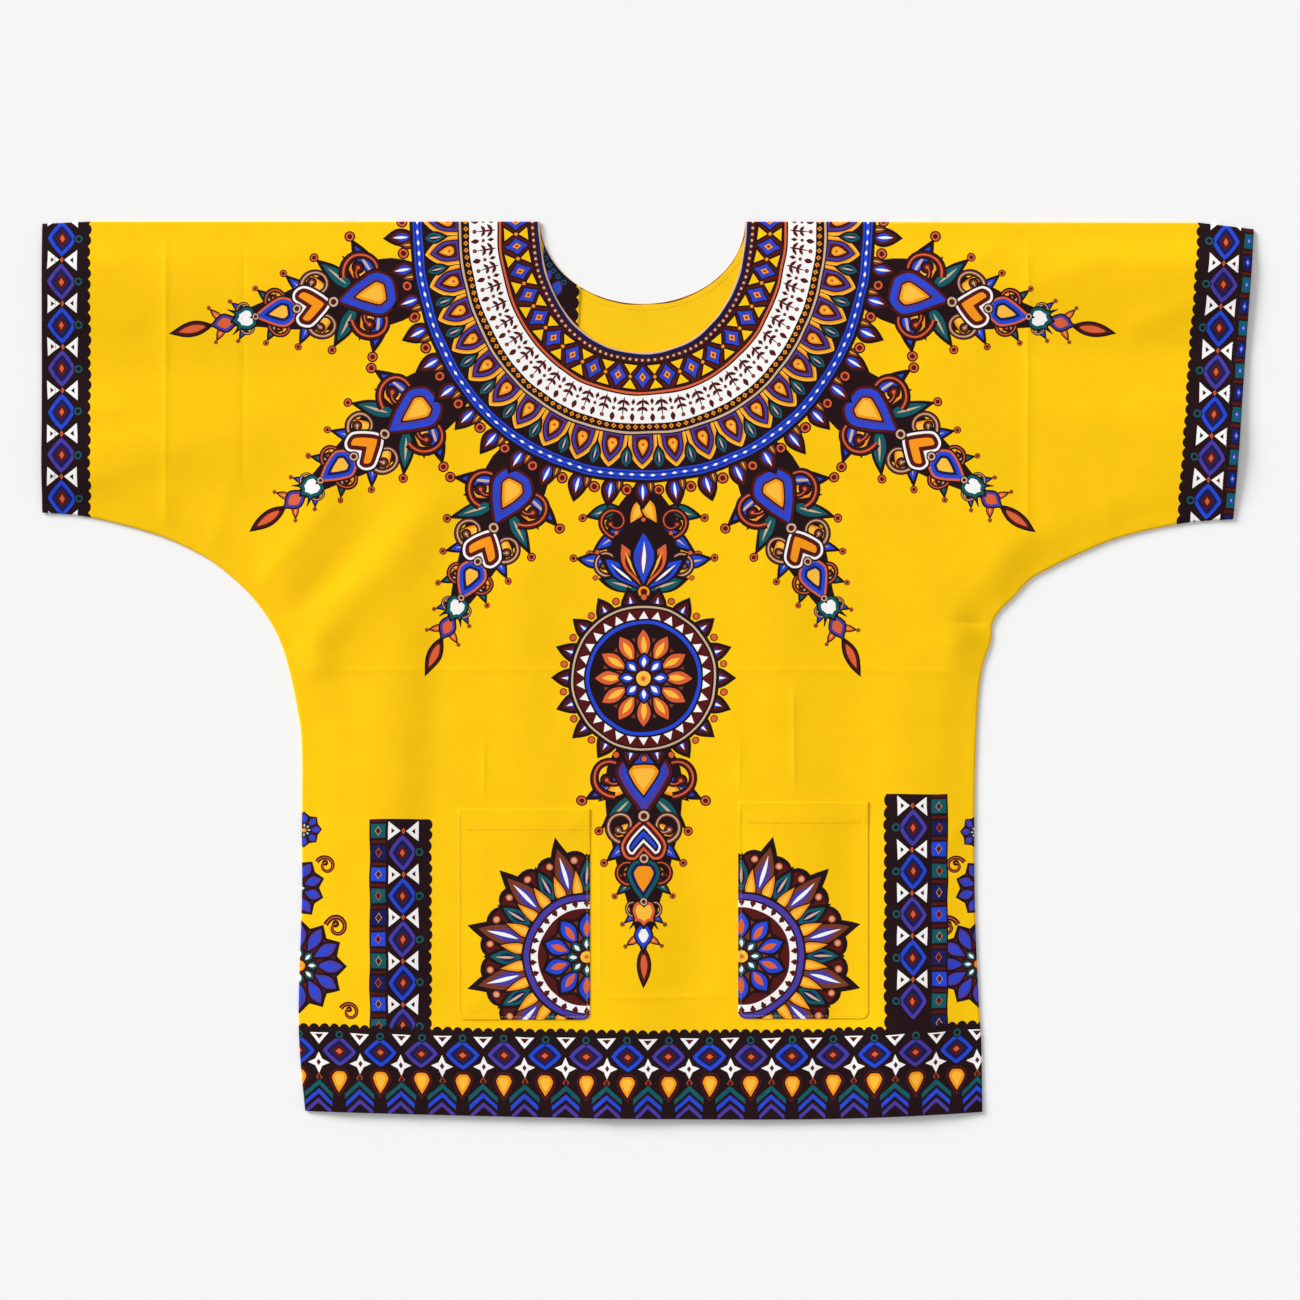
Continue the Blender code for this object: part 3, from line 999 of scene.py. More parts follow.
def draw_cuff(sheet, top, bottom, length, width, way, rungs=0):
    """A border down a cuff, past both its ends, with or without rungs along its outer side. Its
    way is 1 on the left cuff and -1 on the right one."""
    along = (bottom - top) / np.hypot(*(bottom - top))
    into = np.array((-along[1], along[0])) * way
    turn = math.atan2(-along[1], -along[0]) - math.pi / 2

    def at(x, y):
        return top + into * x + along * y

    above, below = -20, length + 20
    lobes = int(length / 10) + 4
    edge = scalloped(at(width - 1, above), at(width - 1, below), LOBE * way, lobes)
    sheet.add("black", np.array([at(-6, below), at(-6, above)] + edge))
    for k in range(-1, int(length / LINK_PITCH) + 2):
        link = chain_link("violet" if k % 2 else "blue")
        sheet.stamp(sided(link, way), at(width - LINK_WIDTH, 14.0 + LINK_PITCH * k), turn)
    for k in range(-1, rungs - 1):
        rung = [("maroon", bar(11, 2.8) + (0, 8.3)),
                (("teal", "navy")[k % 2], bar(8.4, 13.6) + (0, -7)),
                ("blue", lozenge(4.6, 9.0)), ("sand", lozenge(1.6, 3.4))]
        sheet.stamp(rung, at(4.0, 12.0 + RUNG_PITCH * k), turn)


def draw_cuffs(sheet):
    draw_cuff(sheet, place(*LEFT_CUFF[1]), place(*LEFT_CUFF[2]), 268, LINK_WIDTH, 1)
    draw_cuff(sheet, place(*RIGHT_CUFF[1]), place(*RIGHT_CUFF[0]), 269, 51, -1, rungs=16)


def hem_repeat(inner_ink):
    """One repeat of the border along the bottom, its foot at the hem's edge."""
    eye = ringed(lozenge(35, 31, -0.12), ("black", 0), (inner_ink, 1.8), ("navy", 3.2),
                 ("maroon", 3.0))
    motif = moved(eye + [("coral", lozenge(6.4, 5.4))], y=57)
    motif += moved(bead(4.6, "black", "teal", "black"), y=72.0)
    kite = ringed(hanging(shaped(DROP, 19, 27)), ("maroon", 0), ("black", 1.3),
                  ("orange", 1.3), ("amber", 2.2))
    motif += moved(kite, y=41.5)
    between = moved([("white", hanging(tooth(17.5, 10.5))),
                     ("maroon", hanging(tooth(8, 4.6)) + (0, -1.2))], y=74)
    between += moved([("white", star(4, 9.8, 4.4)), ("maroon", lozenge(4.0, 6.0))], y=46)
    between += moved(gem(6.0, 8.6, ("coral", "maroon")), y=32.5)
    for y, size, ink in ((9.5, 1.0, "teal"), (2.5, 0.94, "blue"), (-5.0, 0.88, "violet")):
        roof = [("black", chevron(31, -14, 8.4) + (0, 14)),
                (ink, chevron(27, -12.2, 4.8) + (0, 16))]
        between += moved(roof, y=y, size=size)
    return motif + moved(between, x=HEM_PITCH / 2)


HEM_SAG = (
    # x, and how far the bottom border lies above its lowest place there
    (-390, -320, -170, -10, 150, 230, 310, 390),
    (9.0, 6.5, 2.2, 0.0, 1.0, 4.2, 9.0, 13.0),
)


def draw_hem(sheet):
    """The border along the bottom, which sags as the hem does."""
    first, last = -10 * HEM_PITCH, 10 * HEM_PITCH
    top = scalloped((last, FOLD_Y - 750), (first, FOLD_Y - 750), -3.4, 80)
    foot = straight_run([(first, FOLD_Y - 850), (last, FOLD_Y - 850)], HEM_PITCH)
    border = [("black", np.array(foot + top))]
    for k in range(20):
        motif = hem_repeat("blue" if k % 2 else "violet")
        border += moved(motif, first + (k + 0.5) * HEM_PITCH, FOLD_Y - 829)
    for ink, points in border:
        rise = np.interp(points[:, 0], *HEM_SAG)
        sheet.add(ink, points + np.stack([np.zeros(len(rise)), rise], 1))


def draw_side_band(sheet, outer, inner, top):
    """An upright border that stands on the hem border: a ladder beside a chain of eyes."""
    bottom = 756.0
    way = 1 if inner > outer else -1
    edge = scalloped(place(inner - way, bottom), place(inner - way, top), -LOBE * way, 20)
    sheet.add("black", np.array([place(outer, top), place(outer, bottom)] + edge))
    for k, drop in enumerate(np.arange(top + 31, bottom - 4, LINK_PITCH)):
        link = chain_link("blue" if k % 2 else "violet")
        sheet.stamp(sided(link, way), place(inner - LINK_WIDTH * way, drop))
    for k, drop in enumerate(np.arange(top + 11, bottom, RUNG_PITCH)):
        ink = ("teal", "navy", "blue")[k % 3]
        rung = [(ink, bar(13.4, 13.0) + (0, -6.5)), ("maroon", bar(13.4, 2.6) + (0, 8.4))]
        rung += gem(6.2, 9.4, ("coral" if k % 2 else "sand", "maroon"))
        sheet.stamp(rung, place(outer + 8.2 * way, drop))


SIDE_FLOWERS = (
    # x, drop, radius, petals
    (-322, 688, 44, 12),
    (-328, 616, 30, 10),
    (-318, 562, 17, 8),
    (306, 686, 41, 12),
    (312, 616, 29, 10),
    (304, 564, 16, 8),
)
SIDE_SCROLLS = (
    # x, drop, radius, turn in degrees
    (-298, 650, 11, 12),
    (-306, 592, 9, 20),
    (-284, 727, 9, 20),
    (286, 650, 11, 12),
    (292, 592, 9, 20),
    (270, 727, 9, 20),
)


def draw_side_flowers(sheet):
    """Half flowers that the side seams cut, with scrolls between them."""
    for x, drop, radius, turn in SIDE_SCROLLS:
        motif = moved(scroll(radius), turn=-math.radians(turn))
        sheet.stamp(sided(motif, 1 if x < 0 else -1), place(x, drop))
    for x, drop, radius, petals in SIDE_FLOWERS:
        sheet.stamp(rosette(radius, petals, "violet", "blue", "coral", "maroon"), place(x, drop))
        sheet.stamp(rosette(radius * 0.42, 8, "teal", "white", "orange", "maroon"), place(x, drop))


FRONT_PENDANT_TOP = 250
BACK_PENDANT_TOP = 205

RAYS = (
    # angle round the neck, distance out, size, how much more it points down
    (13, 112, 1.0, -2),
    (37, 114, 1.0, -1),
    (62, 112, 0.98, 3),
    (118, 112, 0.98, -3),
    (143, 114, 1.0, 1),
    (167, 112, 1.0, 2),
)


def body_print(drop, pendant_top, side_bands):
    sheet = Print()
    draw_side_flowers(sheet)
    for outer, inner, top in side_bands:
        draw_side_band(sheet, outer, inner, top)
    draw_hem(sheet)
    draw_cuffs(sheet)
    draw_rays(sheet, drop, RAYS)
    draw_pendant(sheet, pendant_top)
    draw_fringe(sheet, drop)
    draw_yoke(sheet, drop)
    return sheet


def pocket_print(name):
    """A fan of leaves round a flower on the pocket's inner edge."""
    left, right, top, bottom = POCKETS[name]
    inner, outward = (right, -1) if name == "pocket_left" else (left, 1)
    root = place(inner + outward * 3, bottom - 58)
    sheet = Print()
    fan = [("black", lobed(93, 24, 6)), ("maroon", lobed(89.5, 24, 5.2)), ("black", disc(80))]
    fan += wreath(12, (blade(17, 40, ("black", "teal", "navy"), "sand"), 56, 0),
                  (blade(25, 66, ("black", "brown", "violet"), "white"), 48, 0.5))
    fan += wreath(24, (flame(12, 30), 54, 0.5), (bead(4.4, "black", "coral", "sand"), 90, 0.5))
    fan += discs(("black", 60), ("violet", 58), ("black", 53), ("white", 51.4), ("maroon", 45))
    fan += wreath(30, ([("maroon", lozenge(5.8, 8.4))], 50, 0))
    fan += rosette(44, 10, "blue", "coral", "orange", "brown")
    fan += rosette(20, 8, "teal", "white", "amber", "maroon")
    sheet.stamp(fan, root)
    # the hem at the top stays plain
    plain_to = top + POCKET_HEM + 2
    corners = ((left - 5, plain_to), (right + 5, plain_to), (right + 5, top - 5),
               (left - 5, top - 5))
    sheet.add("yellow", np.array([place(*corner) for corner in corners]))
    return sheet


SIDE_BANDS = (
    # outer side, inner side, top
    (-257, -201, 552),
    (277, 219, 529),
)


def turned_hems(painted_neck_shadow=False):
    """The plain side: the printed cloth turned in at the hem and cuffs, and on the back a thin
    brown line round the neck, a painted shadow along the neck's edge."""
    sheet = Print()
    if painted_neck_shadow:
        rings = [
            [neck_point(math.pi * (k / 120), BACK_NECK_DROP, BACK_SQUARENESS, out)
             for k in range(121)]
            for out in (-3.0, 1.1)
        ]
        # a thin brown ring along the back's neck edge: a painted shadow
        sheet.add("brown", np.array(rings[0] + rings[1][::-1]))
    for run, row_depth in BODY_ROWS:
        line = np.array(run)
        left = left_of(np.gradient(line, axis=0))
        turned_in = line + left * (row_depth + ROW_IN)
        sheet.add("black", np.concatenate([line - left * 3, turned_in[::-1]]))
    return sheet


def facing_print():
    """A dark strip with leaves along it, ending in a scalloped edge on plain yellow."""
    sheet = Print()
    end = scalloped((-67, 290), (-66, 420), -2.8, 12)
    sheet.add("black", np.array([(-120, 420), (-120, 290)] + end))
    rows = (
        # distance out from the neck, places, where they end, lean in degrees, motif
        (13.0, 22, -74, 24, moved(blade(13, 21, ("black", "violet", "blue"), "teal"), y=-11)),
        (3.2, 40, -75, 0, bead(2.9, "navy", "teal", "black")),
        (26.0, 36, -75, 0, gem(7.4, 11, ("maroon", "violet", "coral"))),
    )
    for out, count, right, lean, motif in rows:
        for at, turn in ring_places(BACK_NECK_DROP, out, count):
            if at[0] < right:
                sheet.stamp(motif, at, turn + math.radians(lean))
    return sheet


def hand_drawn(points):
    """Moves points by half a millimetre or so, so that no two motifs are quite alike."""
    x, y = points[:, 0], points[:, 1]
    return points + np.stack([
        0.36 * np.sin(0.13 * y + 1.7 * np.sin(0.053 * x)) + 0.14 * np.sin(0.23 * x + 0.19 * y),
        0.36 * np.sin(0.12 * x + 1.9 * np.sin(0.061 * y)) + 0.14 * np.sin(0.21 * y - 0.17 * x),
    ], 1)


# ---------------- cloth from triangles

def staggered(outline, step):
    """A staggered grid over the outline's box."""
    low, high = np.min(outline, axis=0), np.max(outline, axis=0)
    rows = int((high[1] - low[1]) / (step * 0.866)) + 2
    columns = int((high[0] - low[0]) / step) + 2
    j, i = np.mgrid[0:rows, 0:columns]
    return np.stack([
        (low[0] + (i + 0.5 * (j % 2)) * step).ravel(), (low[1] + j * step * 0.866).ravel(),
    ], 1)


def clear_of(points, others, gap):
    """The points with none of the others nearer than the gap."""
    tree = KDTree(len(others))
    for i, (x, y) in enumerate(others):
        tree.insert((x, y, 0), i)
    tree.balance()
    kept = [p for p in points if tree.find((p[0], p[1], 0))[2] > gap]
    return np.array(kept).reshape(-1, 2)


def crease_points():
    """Rows of points beside each sharp crease, so that the mesh can hold it."""
    points = []
    for x0, drop0, x1, drop1, _, _, half_width in PRESSED:
        start, end = place(x0, drop0), place(x1, drop1)
        length = np.hypot(*(end - start))
        along = (end - start) / length
        across = np.array((-along[1], along[0]))
        for k in range(int(length / EDGE_STEP) + 1):
            for share in (-2.2, -1.0, -0.4, 0.0, 0.4, 1.0, 2.2):
                points.append(start + along * EDGE_STEP * k + across * share * half_width)
    return np.array(points)


def row_points(*rows):
    """Points beside each row of stitches. A row is a run of points and how far in from it."""
    points = []
    for run, depth in rows:
        line = np.array(straight_run(run, 3.0))
        left = left_of(np.gradient(line, axis=0))
        points += [line + left * (depth + by) for by in (-3.4, -1.6, 0, 1.6, 3.4, 6.4)]
    return np.concatenate(points)


def triangulated(points, edges, faces):
    """Triangles of a plane cut along the edges and the faces' sides, those within the first face.
    Returns the points, the triangles and each one's last face."""
    found, _, triangles, _, _, covers = delaunay_2d_cdt(
        [Vector(p) for p in points], edges, faces, 0, 1e-4, True
    )
    kept = [(triangle, max(cover)) for triangle, cover in zip(triangles, covers) if 0 in cover]
    triangles = np.array([triangle for triangle, _ in kept])
    flat = np.array([tuple(p) for p in found])
    a, b, c = (flat[triangles[:, k]] for k in range(3))
    turning = (b[:, 0] - a[:, 0]) * (c[:, 1] - a[:, 1]) - (b[:, 1] - a[:, 1]) * (c[:, 0] - a[:, 0])
    triangles[turning < 0] = triangles[turning < 0][:, ::-1]
    return flat, triangles, np.array([cover for _, cover in kept])


def ends_of(triangles):
    """The two ends of every side of the triangles: their first sides, then the second and third."""
    return np.concatenate([triangles[:, [0, 1]], triangles[:, [1, 2]], triangles[:, [2, 0]]])


def sides_of(triangles):
    """Each side of the triangles once, with the triangle on either side of it, or -1."""
    ends = ends_of(triangles)
    owner = np.tile(np.arange(len(triangles)), 3)
    sides, first, index = np.unique(
        np.sort(ends, axis=1), axis=0, return_index=True, return_inverse=True
    )
    beside = np.full((len(sides), 2), -1)
    beside[:, 0] = owner[first]
    others = np.setdiff1d(np.arange(len(ends)), first)
    beside[index.ravel()[others], 1] = owner[others]
    return sides, beside


def rim_of(triangles):
    """The outline's points in order, anticlockwise, from the triangles' open edges."""
    seen = {(a, b) for a, b in ends_of(triangles).tolist()}
    after = {a: b for a, b in seen if (b, a) not in seen}
    first = next(iter(after))
    loop = [first]
    while after[loop[-1]] != first:
        loop.append(after[loop[-1]])
    return loop


def filled(outline, sheet, rings, loose):
    """Triangles that fill an outline, cut along the edges that show between inks. Returns the
    points, the triangles and the number of each one's ink, from 1, or 0 for the plain ground."""
    # first every shape is cut in, which tells the ink of each place
    lines = [np.asarray(outline)]
    for shape in sheet.shapes:
        run = np.array(straight_run([*shape, shape[0]], PRINT_STEP)[:-1])
        lines.append(untangled(hand_drawn(run)))
    starts = np.cumsum([0] + [len(line) for line in lines])
    faces = [list(range(a, b)) for a, b in zip(starts, starts[1:])]
    flat, triangles, cover = triangulated(np.concatenate(lines), [], faces)
    numbers = {ink: number for number, ink in enumerate(sorted(INKS), 1)}
    numbers["yellow"] = 0
    ink = np.array([0] + [numbers[name] for name in sheet.inks])[cover]
    sides, beside = sides_of(triangles)
    seen = (beside[:, 1] < 0) | (ink[beside[:, 0]] != ink[beside[:, 1]])
    # then only the edges that show, with the rings and the loose points
    flats = [flat]
    edges = [tuple(side) for side in sides[seen].tolist()]
    count = len(flat)
    for ring in rings:
        edges += [(count + i, count + (i + 1) % len(ring)) for i in range(len(ring))]
        flats.append(ring)
        count += len(ring)
    used = np.zeros(len(flat), bool)
    used[sides[seen].ravel()] = True
    flats.append(clear_of(loose, np.concatenate([flat[used], *rings]), GRID_CLEAR))
    everything = np.concatenate(flats)
    needed = np.concatenate([used, np.ones(len(everything) - len(flat), bool)])
    number = np.cumsum(needed) - 1
    edges = [(int(number[a]), int(number[b])) for a, b in edges]
    face = [int(number[i]) for i in rim_of(triangles)]
    points, fine, _ = triangulated(everything[needed], edges, [face])
    coarse = BVHTree.FromPolygons(
        [(x, y, 0) for x, y in flat.tolist()], triangles.tolist(), all_triangles=True
    )
    middles = points[fine].mean(axis=1).tolist()
    return points, fine, np.array([ink[coarse.find_nearest((x, y, 0))[2]] for x, y in middles])


def cloth_shell(name, outline, sheet, printed, plain, material, printed_up=True, grid=FRONT_GRID,
                loose=None, turned=None):
    """A closed thin shell. printed(points) and plain(points) give the two sides' heights in
    millimetres. The printed side is cut along the print, and both share the outline's points.
    The plain side is cut along the print of what is turned in."""
    points = staggered(outline, grid)
    if loose is not None:
        points = np.concatenate([clear_of(points, loose, grid * 0.6), loose])
    rolls = [inset(outline, by) for by in (0.22, 0.6, 1.3, SEWN_ROLL)]
    flat, faces, ink = filled(outline, sheet, rolls, points)
    rim = rim_of(faces)
    plain_rolls = [inset(outline, by) for by in (0.6, SEWN_ROLL)]
    flat2, faces2, ink2 = filled(
        flat[rim], turned or Print(), plain_rolls, staggered(outline, PLAIN_GRID)
    )
    # the plain side takes the printed side's points along the outline
    joined = KDTree(len(rim))
    for i in rim:
        joined.insert((*flat[i], 0), i)
    joined.balance()
    number = np.arange(len(flat2)) + len(flat)
    for i in rim_of(faces2):
        number[i] = joined.find((*flat2[i], 0))[1]
    both = np.concatenate([
        np.column_stack([flat, printed(flat)]), np.column_stack([flat2, plain(flat2)]),
    ]) * MM
    if printed_up:
        triangles = np.concatenate([faces, number[faces2][:, ::-1]])
    else:
        triangles = np.concatenate([faces[:, ::-1], number[faces2]])
    used, triangles = np.unique(triangles, return_inverse=True)
    triangles = triangles.reshape(-1, 3)
    mesh = bpy.data.meshes.new(name)
    mesh.from_pydata(both[used].tolist(), [], triangles.tolist())
    on_yellow, inside = (
        np.array([INK_COLOURS[key] for key in (ground, *sorted(INKS))])
        for ground in ("yellow", "inside")
    )
    colours = np.ones((len(triangles) * 3, 4), np.float32)
    colours[:, :3] = np.repeat(np.concatenate([on_yellow[ink], inside[ink2]]), 3, axis=0)
    layer = mesh.color_attributes.new("ink", "FLOAT_COLOR", "CORNER")
    layer.data.foreach_set("color", colours.ravel())
    lay_out(mesh, both[used][triangles.ravel()], len(faces))
    mesh.shade_smooth()
    mesh.materials.append(material)
    return added(name, mesh)


def added(name, data):
    """A new object in the scene."""
    made = bpy.data.objects.new(name, data)
    bpy.context.scene.collection.objects.link(made)
    return made


def lay_out(mesh, corners, printed_faces):
    """A flat map: the printed side over most of the square, the plain side in a strip above."""
    low, high = corners.min(axis=0), corners.max(axis=0)
    share = (corners[:, :2] - low[:2]) / (high[:2] - low[:2])
    share[:, 0] = 0.004 + 0.992 * share[:, 0]
    printed = np.arange(len(corners)) < 3 * printed_faces
    share[:, 1] = np.where(printed, 0.004 + 0.93 * share[:, 1], 0.945 + 0.05 * share[:, 1])
    mesh.uv_layers.new(name="OFBake").uv.foreach_set("vector", share.astype(np.float32).ravel())


# ---------------- materials

class Nodes:
    """Short calls for building a material's nodes."""

    def __init__(self, name):
        self.material = bpy.data.materials.new(name)
        self.material.use_nodes = True
        self.tree = self.material.node_tree
        self.surface = self.tree.nodes["Principled BSDF"]

    def node(self, kind, **settings):
        made = self.tree.nodes.new(kind)
        for key, value in settings.items():
            setattr(made, key, value)
        return made

    def link(self, source, target):
        self.tree.links.new(source, target)

    def maths(self, operation, first, second=None):
        made = self.node("ShaderNodeMath", operation=operation)
        for socket, value in zip(made.inputs, (first, second)):
            if isinstance(value, (int, float)):
                socket.default_value = value
            elif value is not None:
                self.link(value, socket)
        return made.outputs[0]

    def noise(self, vector, scale, detail=2.0, stretch=None):
        if stretch:
            mapping = self.node("ShaderNodeMapping")
            mapping.inputs["Scale"].default_value = stretch
            self.link(vector, mapping.inputs["Vector"])
            vector = mapping.outputs[0]
        made = self.node("ShaderNodeTexNoise")
        made.inputs["Scale"].default_value = scale
        made.inputs["Detail"].default_value = detail
        self.link(vector, made.inputs["Vector"])
        return made.outputs["Fac"]

    def spread(self, value, low, high):
        made = self.node("ShaderNodeMapRange")
        made.inputs["To Min"].default_value = low
        made.inputs["To Max"].default_value = high
        self.link(value, made.inputs["Value"])
        return made.outputs[0]

    def tint(self, share, low, high):
        """Sets the surface's colour to a mix of two."""
        made = self.node("ShaderNodeMix", data_type="RGBA")
        made.inputs["A"].default_value = (*low, 1.0)
        made.inputs["B"].default_value = (*high, 1.0)
        self.link(share, made.inputs["Factor"])
        self.link(made.outputs["Result"], self.surface.inputs["Base Color"])

    def bump(self, height, strength, distance):
        made = self.node("ShaderNodeBump")
        made.inputs["Strength"].default_value = strength
        made.inputs["Distance"].default_value = distance
        self.link(height, made.inputs["Height"])
        self.link(made.outputs[0], self.surface.inputs["Normal"])


THREAD_PITCH = 0.00046  # in metres


def plain_weave(n, where):
    """The height of a plain weave, 0 to 1: yarns along X and along Y that pass over by turns."""
    split = n.node("ShaderNodeSeparateXYZ")
    n.link(where, split.inputs[0])
    waves = []
    for axis in ("X", "Y"):
        phase = n.maths("MULTIPLY", split.outputs[axis], math.pi / THREAD_PITCH)
        waves.append(n.maths("SINE", phase))
    round_x, round_y = (n.maths("ABSOLUTE", wave) for wave in waves)
    along_y = n.maths("MULTIPLY", round_x, n.maths("POWER", round_y, 0.35))
    along_x = n.maths("MULTIPLY", round_y, n.maths("POWER", round_x, 0.35))
    on_top = n.maths("GREATER_THAN", n.maths("MULTIPLY", waves[0], waves[1]), 0.0)
    lift = n.maths("MULTIPLY", on_top, n.maths("SUBTRACT", along_y, along_x))
    return n.maths("ADD", along_x, lift)


def printed_cotton():
    """Plain-woven cotton coloured by the "ink" laid on each face, with painted shade between its
    yarns.
    """
    n = Nodes("printed_cotton")
    where = n.node("ShaderNodeTexCoord").outputs["Object"]
    ink = n.node("ShaderNodeAttribute", attribute_name="ink").outputs["Color"]
    over = plain_weave(n, where)
    slub_x = n.noise(where, 60.0, 2.0, (1.0, 18.0, 1.0))
    slub_y = n.noise(where, 60.0, 2.0, (18.0, 1.0, 1.0))
    slubs = n.maths("ADD", slub_x, slub_y)
    mottle = n.noise(where, 26.0, 4.0)
    bleed = n.noise(where, 420.0, 2.0)
    tone = n.maths("ADD", n.spread(mottle, 0.955, 1.035), n.spread(slubs, -0.035, 0.03))
    tone = n.maths("ADD", tone, n.spread(bleed, -0.025, 0.025))
    # painted shade and highlight: darker in the hollows between the yarns, lighter on their tops
    tone = n.maths("ADD", tone, n.spread(over, -0.05, 0.04))
    # the dark inks lie less evenly than the pale ones, and the painted shade between the yarns is
    # made stronger on them too
    parts = n.node("ShaderNodeSeparateColor")
    n.link(ink, parts.inputs["Color"])
    unevenness = n.spread(parts.outputs["Red"], 5.0, 1.0)
    uneven = n.maths("MULTIPLY", n.maths("SUBTRACT", tone, 1.0), unevenness)
    tone = n.maths("ADD", uneven, 1.0)
    toned = n.node("ShaderNodeVectorMath", operation="SCALE")
    n.link(ink, toned.inputs[0])
    n.link(tone, toned.inputs["Scale"])
    n.link(toned.outputs[0], n.surface.inputs["Base Color"])
    n.link(n.spread(slubs, 0.66, 0.84), n.surface.inputs["Roughness"])
    n.surface.inputs["Specular IOR Level"].default_value = 0.07
    n.surface.inputs["Sheen Weight"].default_value = 0.02
    n.surface.inputs["Sheen Roughness"].default_value = 0.45
    relief = n.maths("ADD", n.maths("MULTIPLY", over, 0.5), n.maths("MULTIPLY", slubs, 1.1))
    n.bump(relief, 0.35, 0.00012)
    return n.material


def sewing_thread(name, colour):
    """Twisted thread: a fine slanting ridge along each stitch."""
    n = Nodes(name)
    where = n.node("ShaderNodeTexCoord").outputs["Object"]
    twist = n.noise(where, 2400.0, 1.0, (1.0, 0.35, 1.0))
    n.tint(twist, colour * 0.7, np.minimum(colour * 1.1, 1))
    n.link(n.spread(twist, 0.45, 0.7), n.surface.inputs["Roughness"])
    n.bump(twist, 0.5, 0.0001)
    return n.material


# ---------------- stitches

STITCH = 2.5  # length
STITCH_PITCH = 3.3
THREAD_RADIUS = 0.2
STITCH_SECTIONS = 5  # rings of points along a stitch
STITCH_SIDES = 6  # points in a ring


def stitch_row(line, offset):
    """Stitch ends along a run of points, offset to its left."""
    line = np.array(line)
    step = np.diff(line, axis=0)
    left = left_of(step)
    length = np.hypot(step[:, 0], step[:, 1])
    run = np.concatenate([[0], np.cumsum(length)])
    stitches = []
    at = STITCH_PITCH
    while at < run[-1] - STITCH_PITCH:
        ends = []
        for s in (at, at + STITCH):
            i = min(int(np.searchsorted(run, s, "right")) - 1, len(step) - 1)
            ends.append(line[i] + step[i] / length[i] * (s - run[i]) + left[i] * offset)
        stitches.append(ends)
        at += STITCH_PITCH
    return stitches


def stitch_mesh(name, stitches, surface, material, up=1):
    """Every stitch as a small arched capsule on the cloth, joined in one mesh."""
    sections, sides = STITCH_SECTIONS, STITCH_SIDES
    start, end = np.array(stitches)[:, 0], np.array(stitches)[:, 1]
    along, across = end - start, left_of(end - start)
    low, high = surface(start), surface(end)
    points = []
    for s in range(sections):
        t = s / (sections - 1)
        lift = up * THREAD_RADIUS * (1.5 * math.sin(math.pi * t) - 0.35)
        radius = THREAD_RADIUS * (0.55 if s in (0, sections - 1) else 1.0)
        for k in range(sides):
            turn = 2 * math.pi * k / sides
            ring = start + along * t + across * (radius * math.cos(turn))
            height = low + (high - low) * t + lift + radius * math.sin(turn)
            points.append(np.column_stack([ring, height]))
    count = sections * sides
    faces = []
    for s in range(sections - 1):
        for k in range(sides):
            a, b = s * sides + k, s * sides + (k + 1) % sides
            faces.append((a, b, b + sides, a + sides))
    faces += [tuple(range(sides))[::-1], tuple(range(count - sides, count))]
    every = [tuple(i + count * j for i in face) for j in range(len(stitches)) for face in faces]
    mesh = bpy.data.meshes.new(name)
    mesh.from_pydata((np.stack(points, 1).reshape(-1, 3) * MM).tolist(), [], every)
    mesh.shade_smooth()
    mesh.materials.append(material)
    return added(name, mesh)


# ---------------- pieces

def make_front(material):
    outline = body_outline(FRONT_NECK)

    def upper(points):
        surface = front_surface(points)
        return rolled(points, surface, surface - FRONT_THICK, outline, FRONT_SEAM_Z)

    def lower(points):
        surface = front_surface(points)
        return rolled(points, surface - FRONT_THICK, surface, outline, FRONT_SEAM_Z)

    sheet = body_print(FRONT_NECK_DROP, FRONT_PENDANT_TOP, SIDE_BANDS)
    cloth = cloth_shell(
        "front_cloth", outline, sheet, upper, lower, material, turned=turned_hems(),
        loose=np.concatenate([crease_points(), row_points(*FRONT_ROWS)]),
    )
    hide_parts("front_panel")
    return cloth


def make_back(material):
    outline = body_outline(BACK_NECK)

    def inner(points):
        return rolled(points, back_surface(points), back_underside(points), outline, BACK_SEAM_Z)

    def outer(points):
        return rolled(points, back_underside(points), back_surface(points), outline, BACK_SEAM_Z)

    sheet = body_print(BACK_NECK_DROP, BACK_PENDANT_TOP, ())
    cloth = cloth_shell(
        "back_cloth", outline, sheet, outer, inner, material, printed_up=False, grid=PLAIN_GRID,
        loose=row_points(*BACK_ROWS), turned=turned_hems(painted_neck_shadow=True),
    )
    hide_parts("back_panel")
    return cloth


def pocket_heights(name):
    """A pocket's outline, its surface before the edges are rolled, and its two sides."""
    outline = pocket_outline(name)
    left, right, top, _ = POCKETS[name]
    top_edge = [place(left, top), place(right, top)]
    closed = outline + outline[:1]

    def surface(points):
        edge = distance_to(points, closed)
        mouth = distance_to(points, top_edge)
        puff = 0.9 * soft_step(edge, 26.0) + 0.35 * soft_step(40.0 - mouth, 40.0)
        row = -0.28 * bell(edge - POCKET_STITCH, 1.2) * soft_step(mouth - 3.0, 3.0)
        hem = 0.6 * hemmed(mouth, POCKET_HEM, points, 41.0)
        pucker = 0.12 * rippled(points, 7.5, 43.0) * bell(edge - 4.0, 6.0)
        return front_surface(points) + 1.0 + puff + row + hem + pucker

    def side(surface_of, opposite_of):
        def heights(points):
            height = surface_of(points)
            meet = (height + opposite_of(points)) / 2
            return meet + (height - meet) * roll_share(distance_to(points, closed), OPEN_ROLL)
        return heights

    def under(points):
        return front_surface(points) + 0.2

    return outline, surface, side(surface, under), side(under, surface)


def sewn_sides(name, step):
    """The run of a pocket's three sewn sides, from just under its top edge."""
    outline = pocket_outline(name)
    start_y = FOLD_Y - POCKETS[name][2] - 2.5
    return [p for p in straight_run(outline + outline[:1], step) if p[1] < start_y]


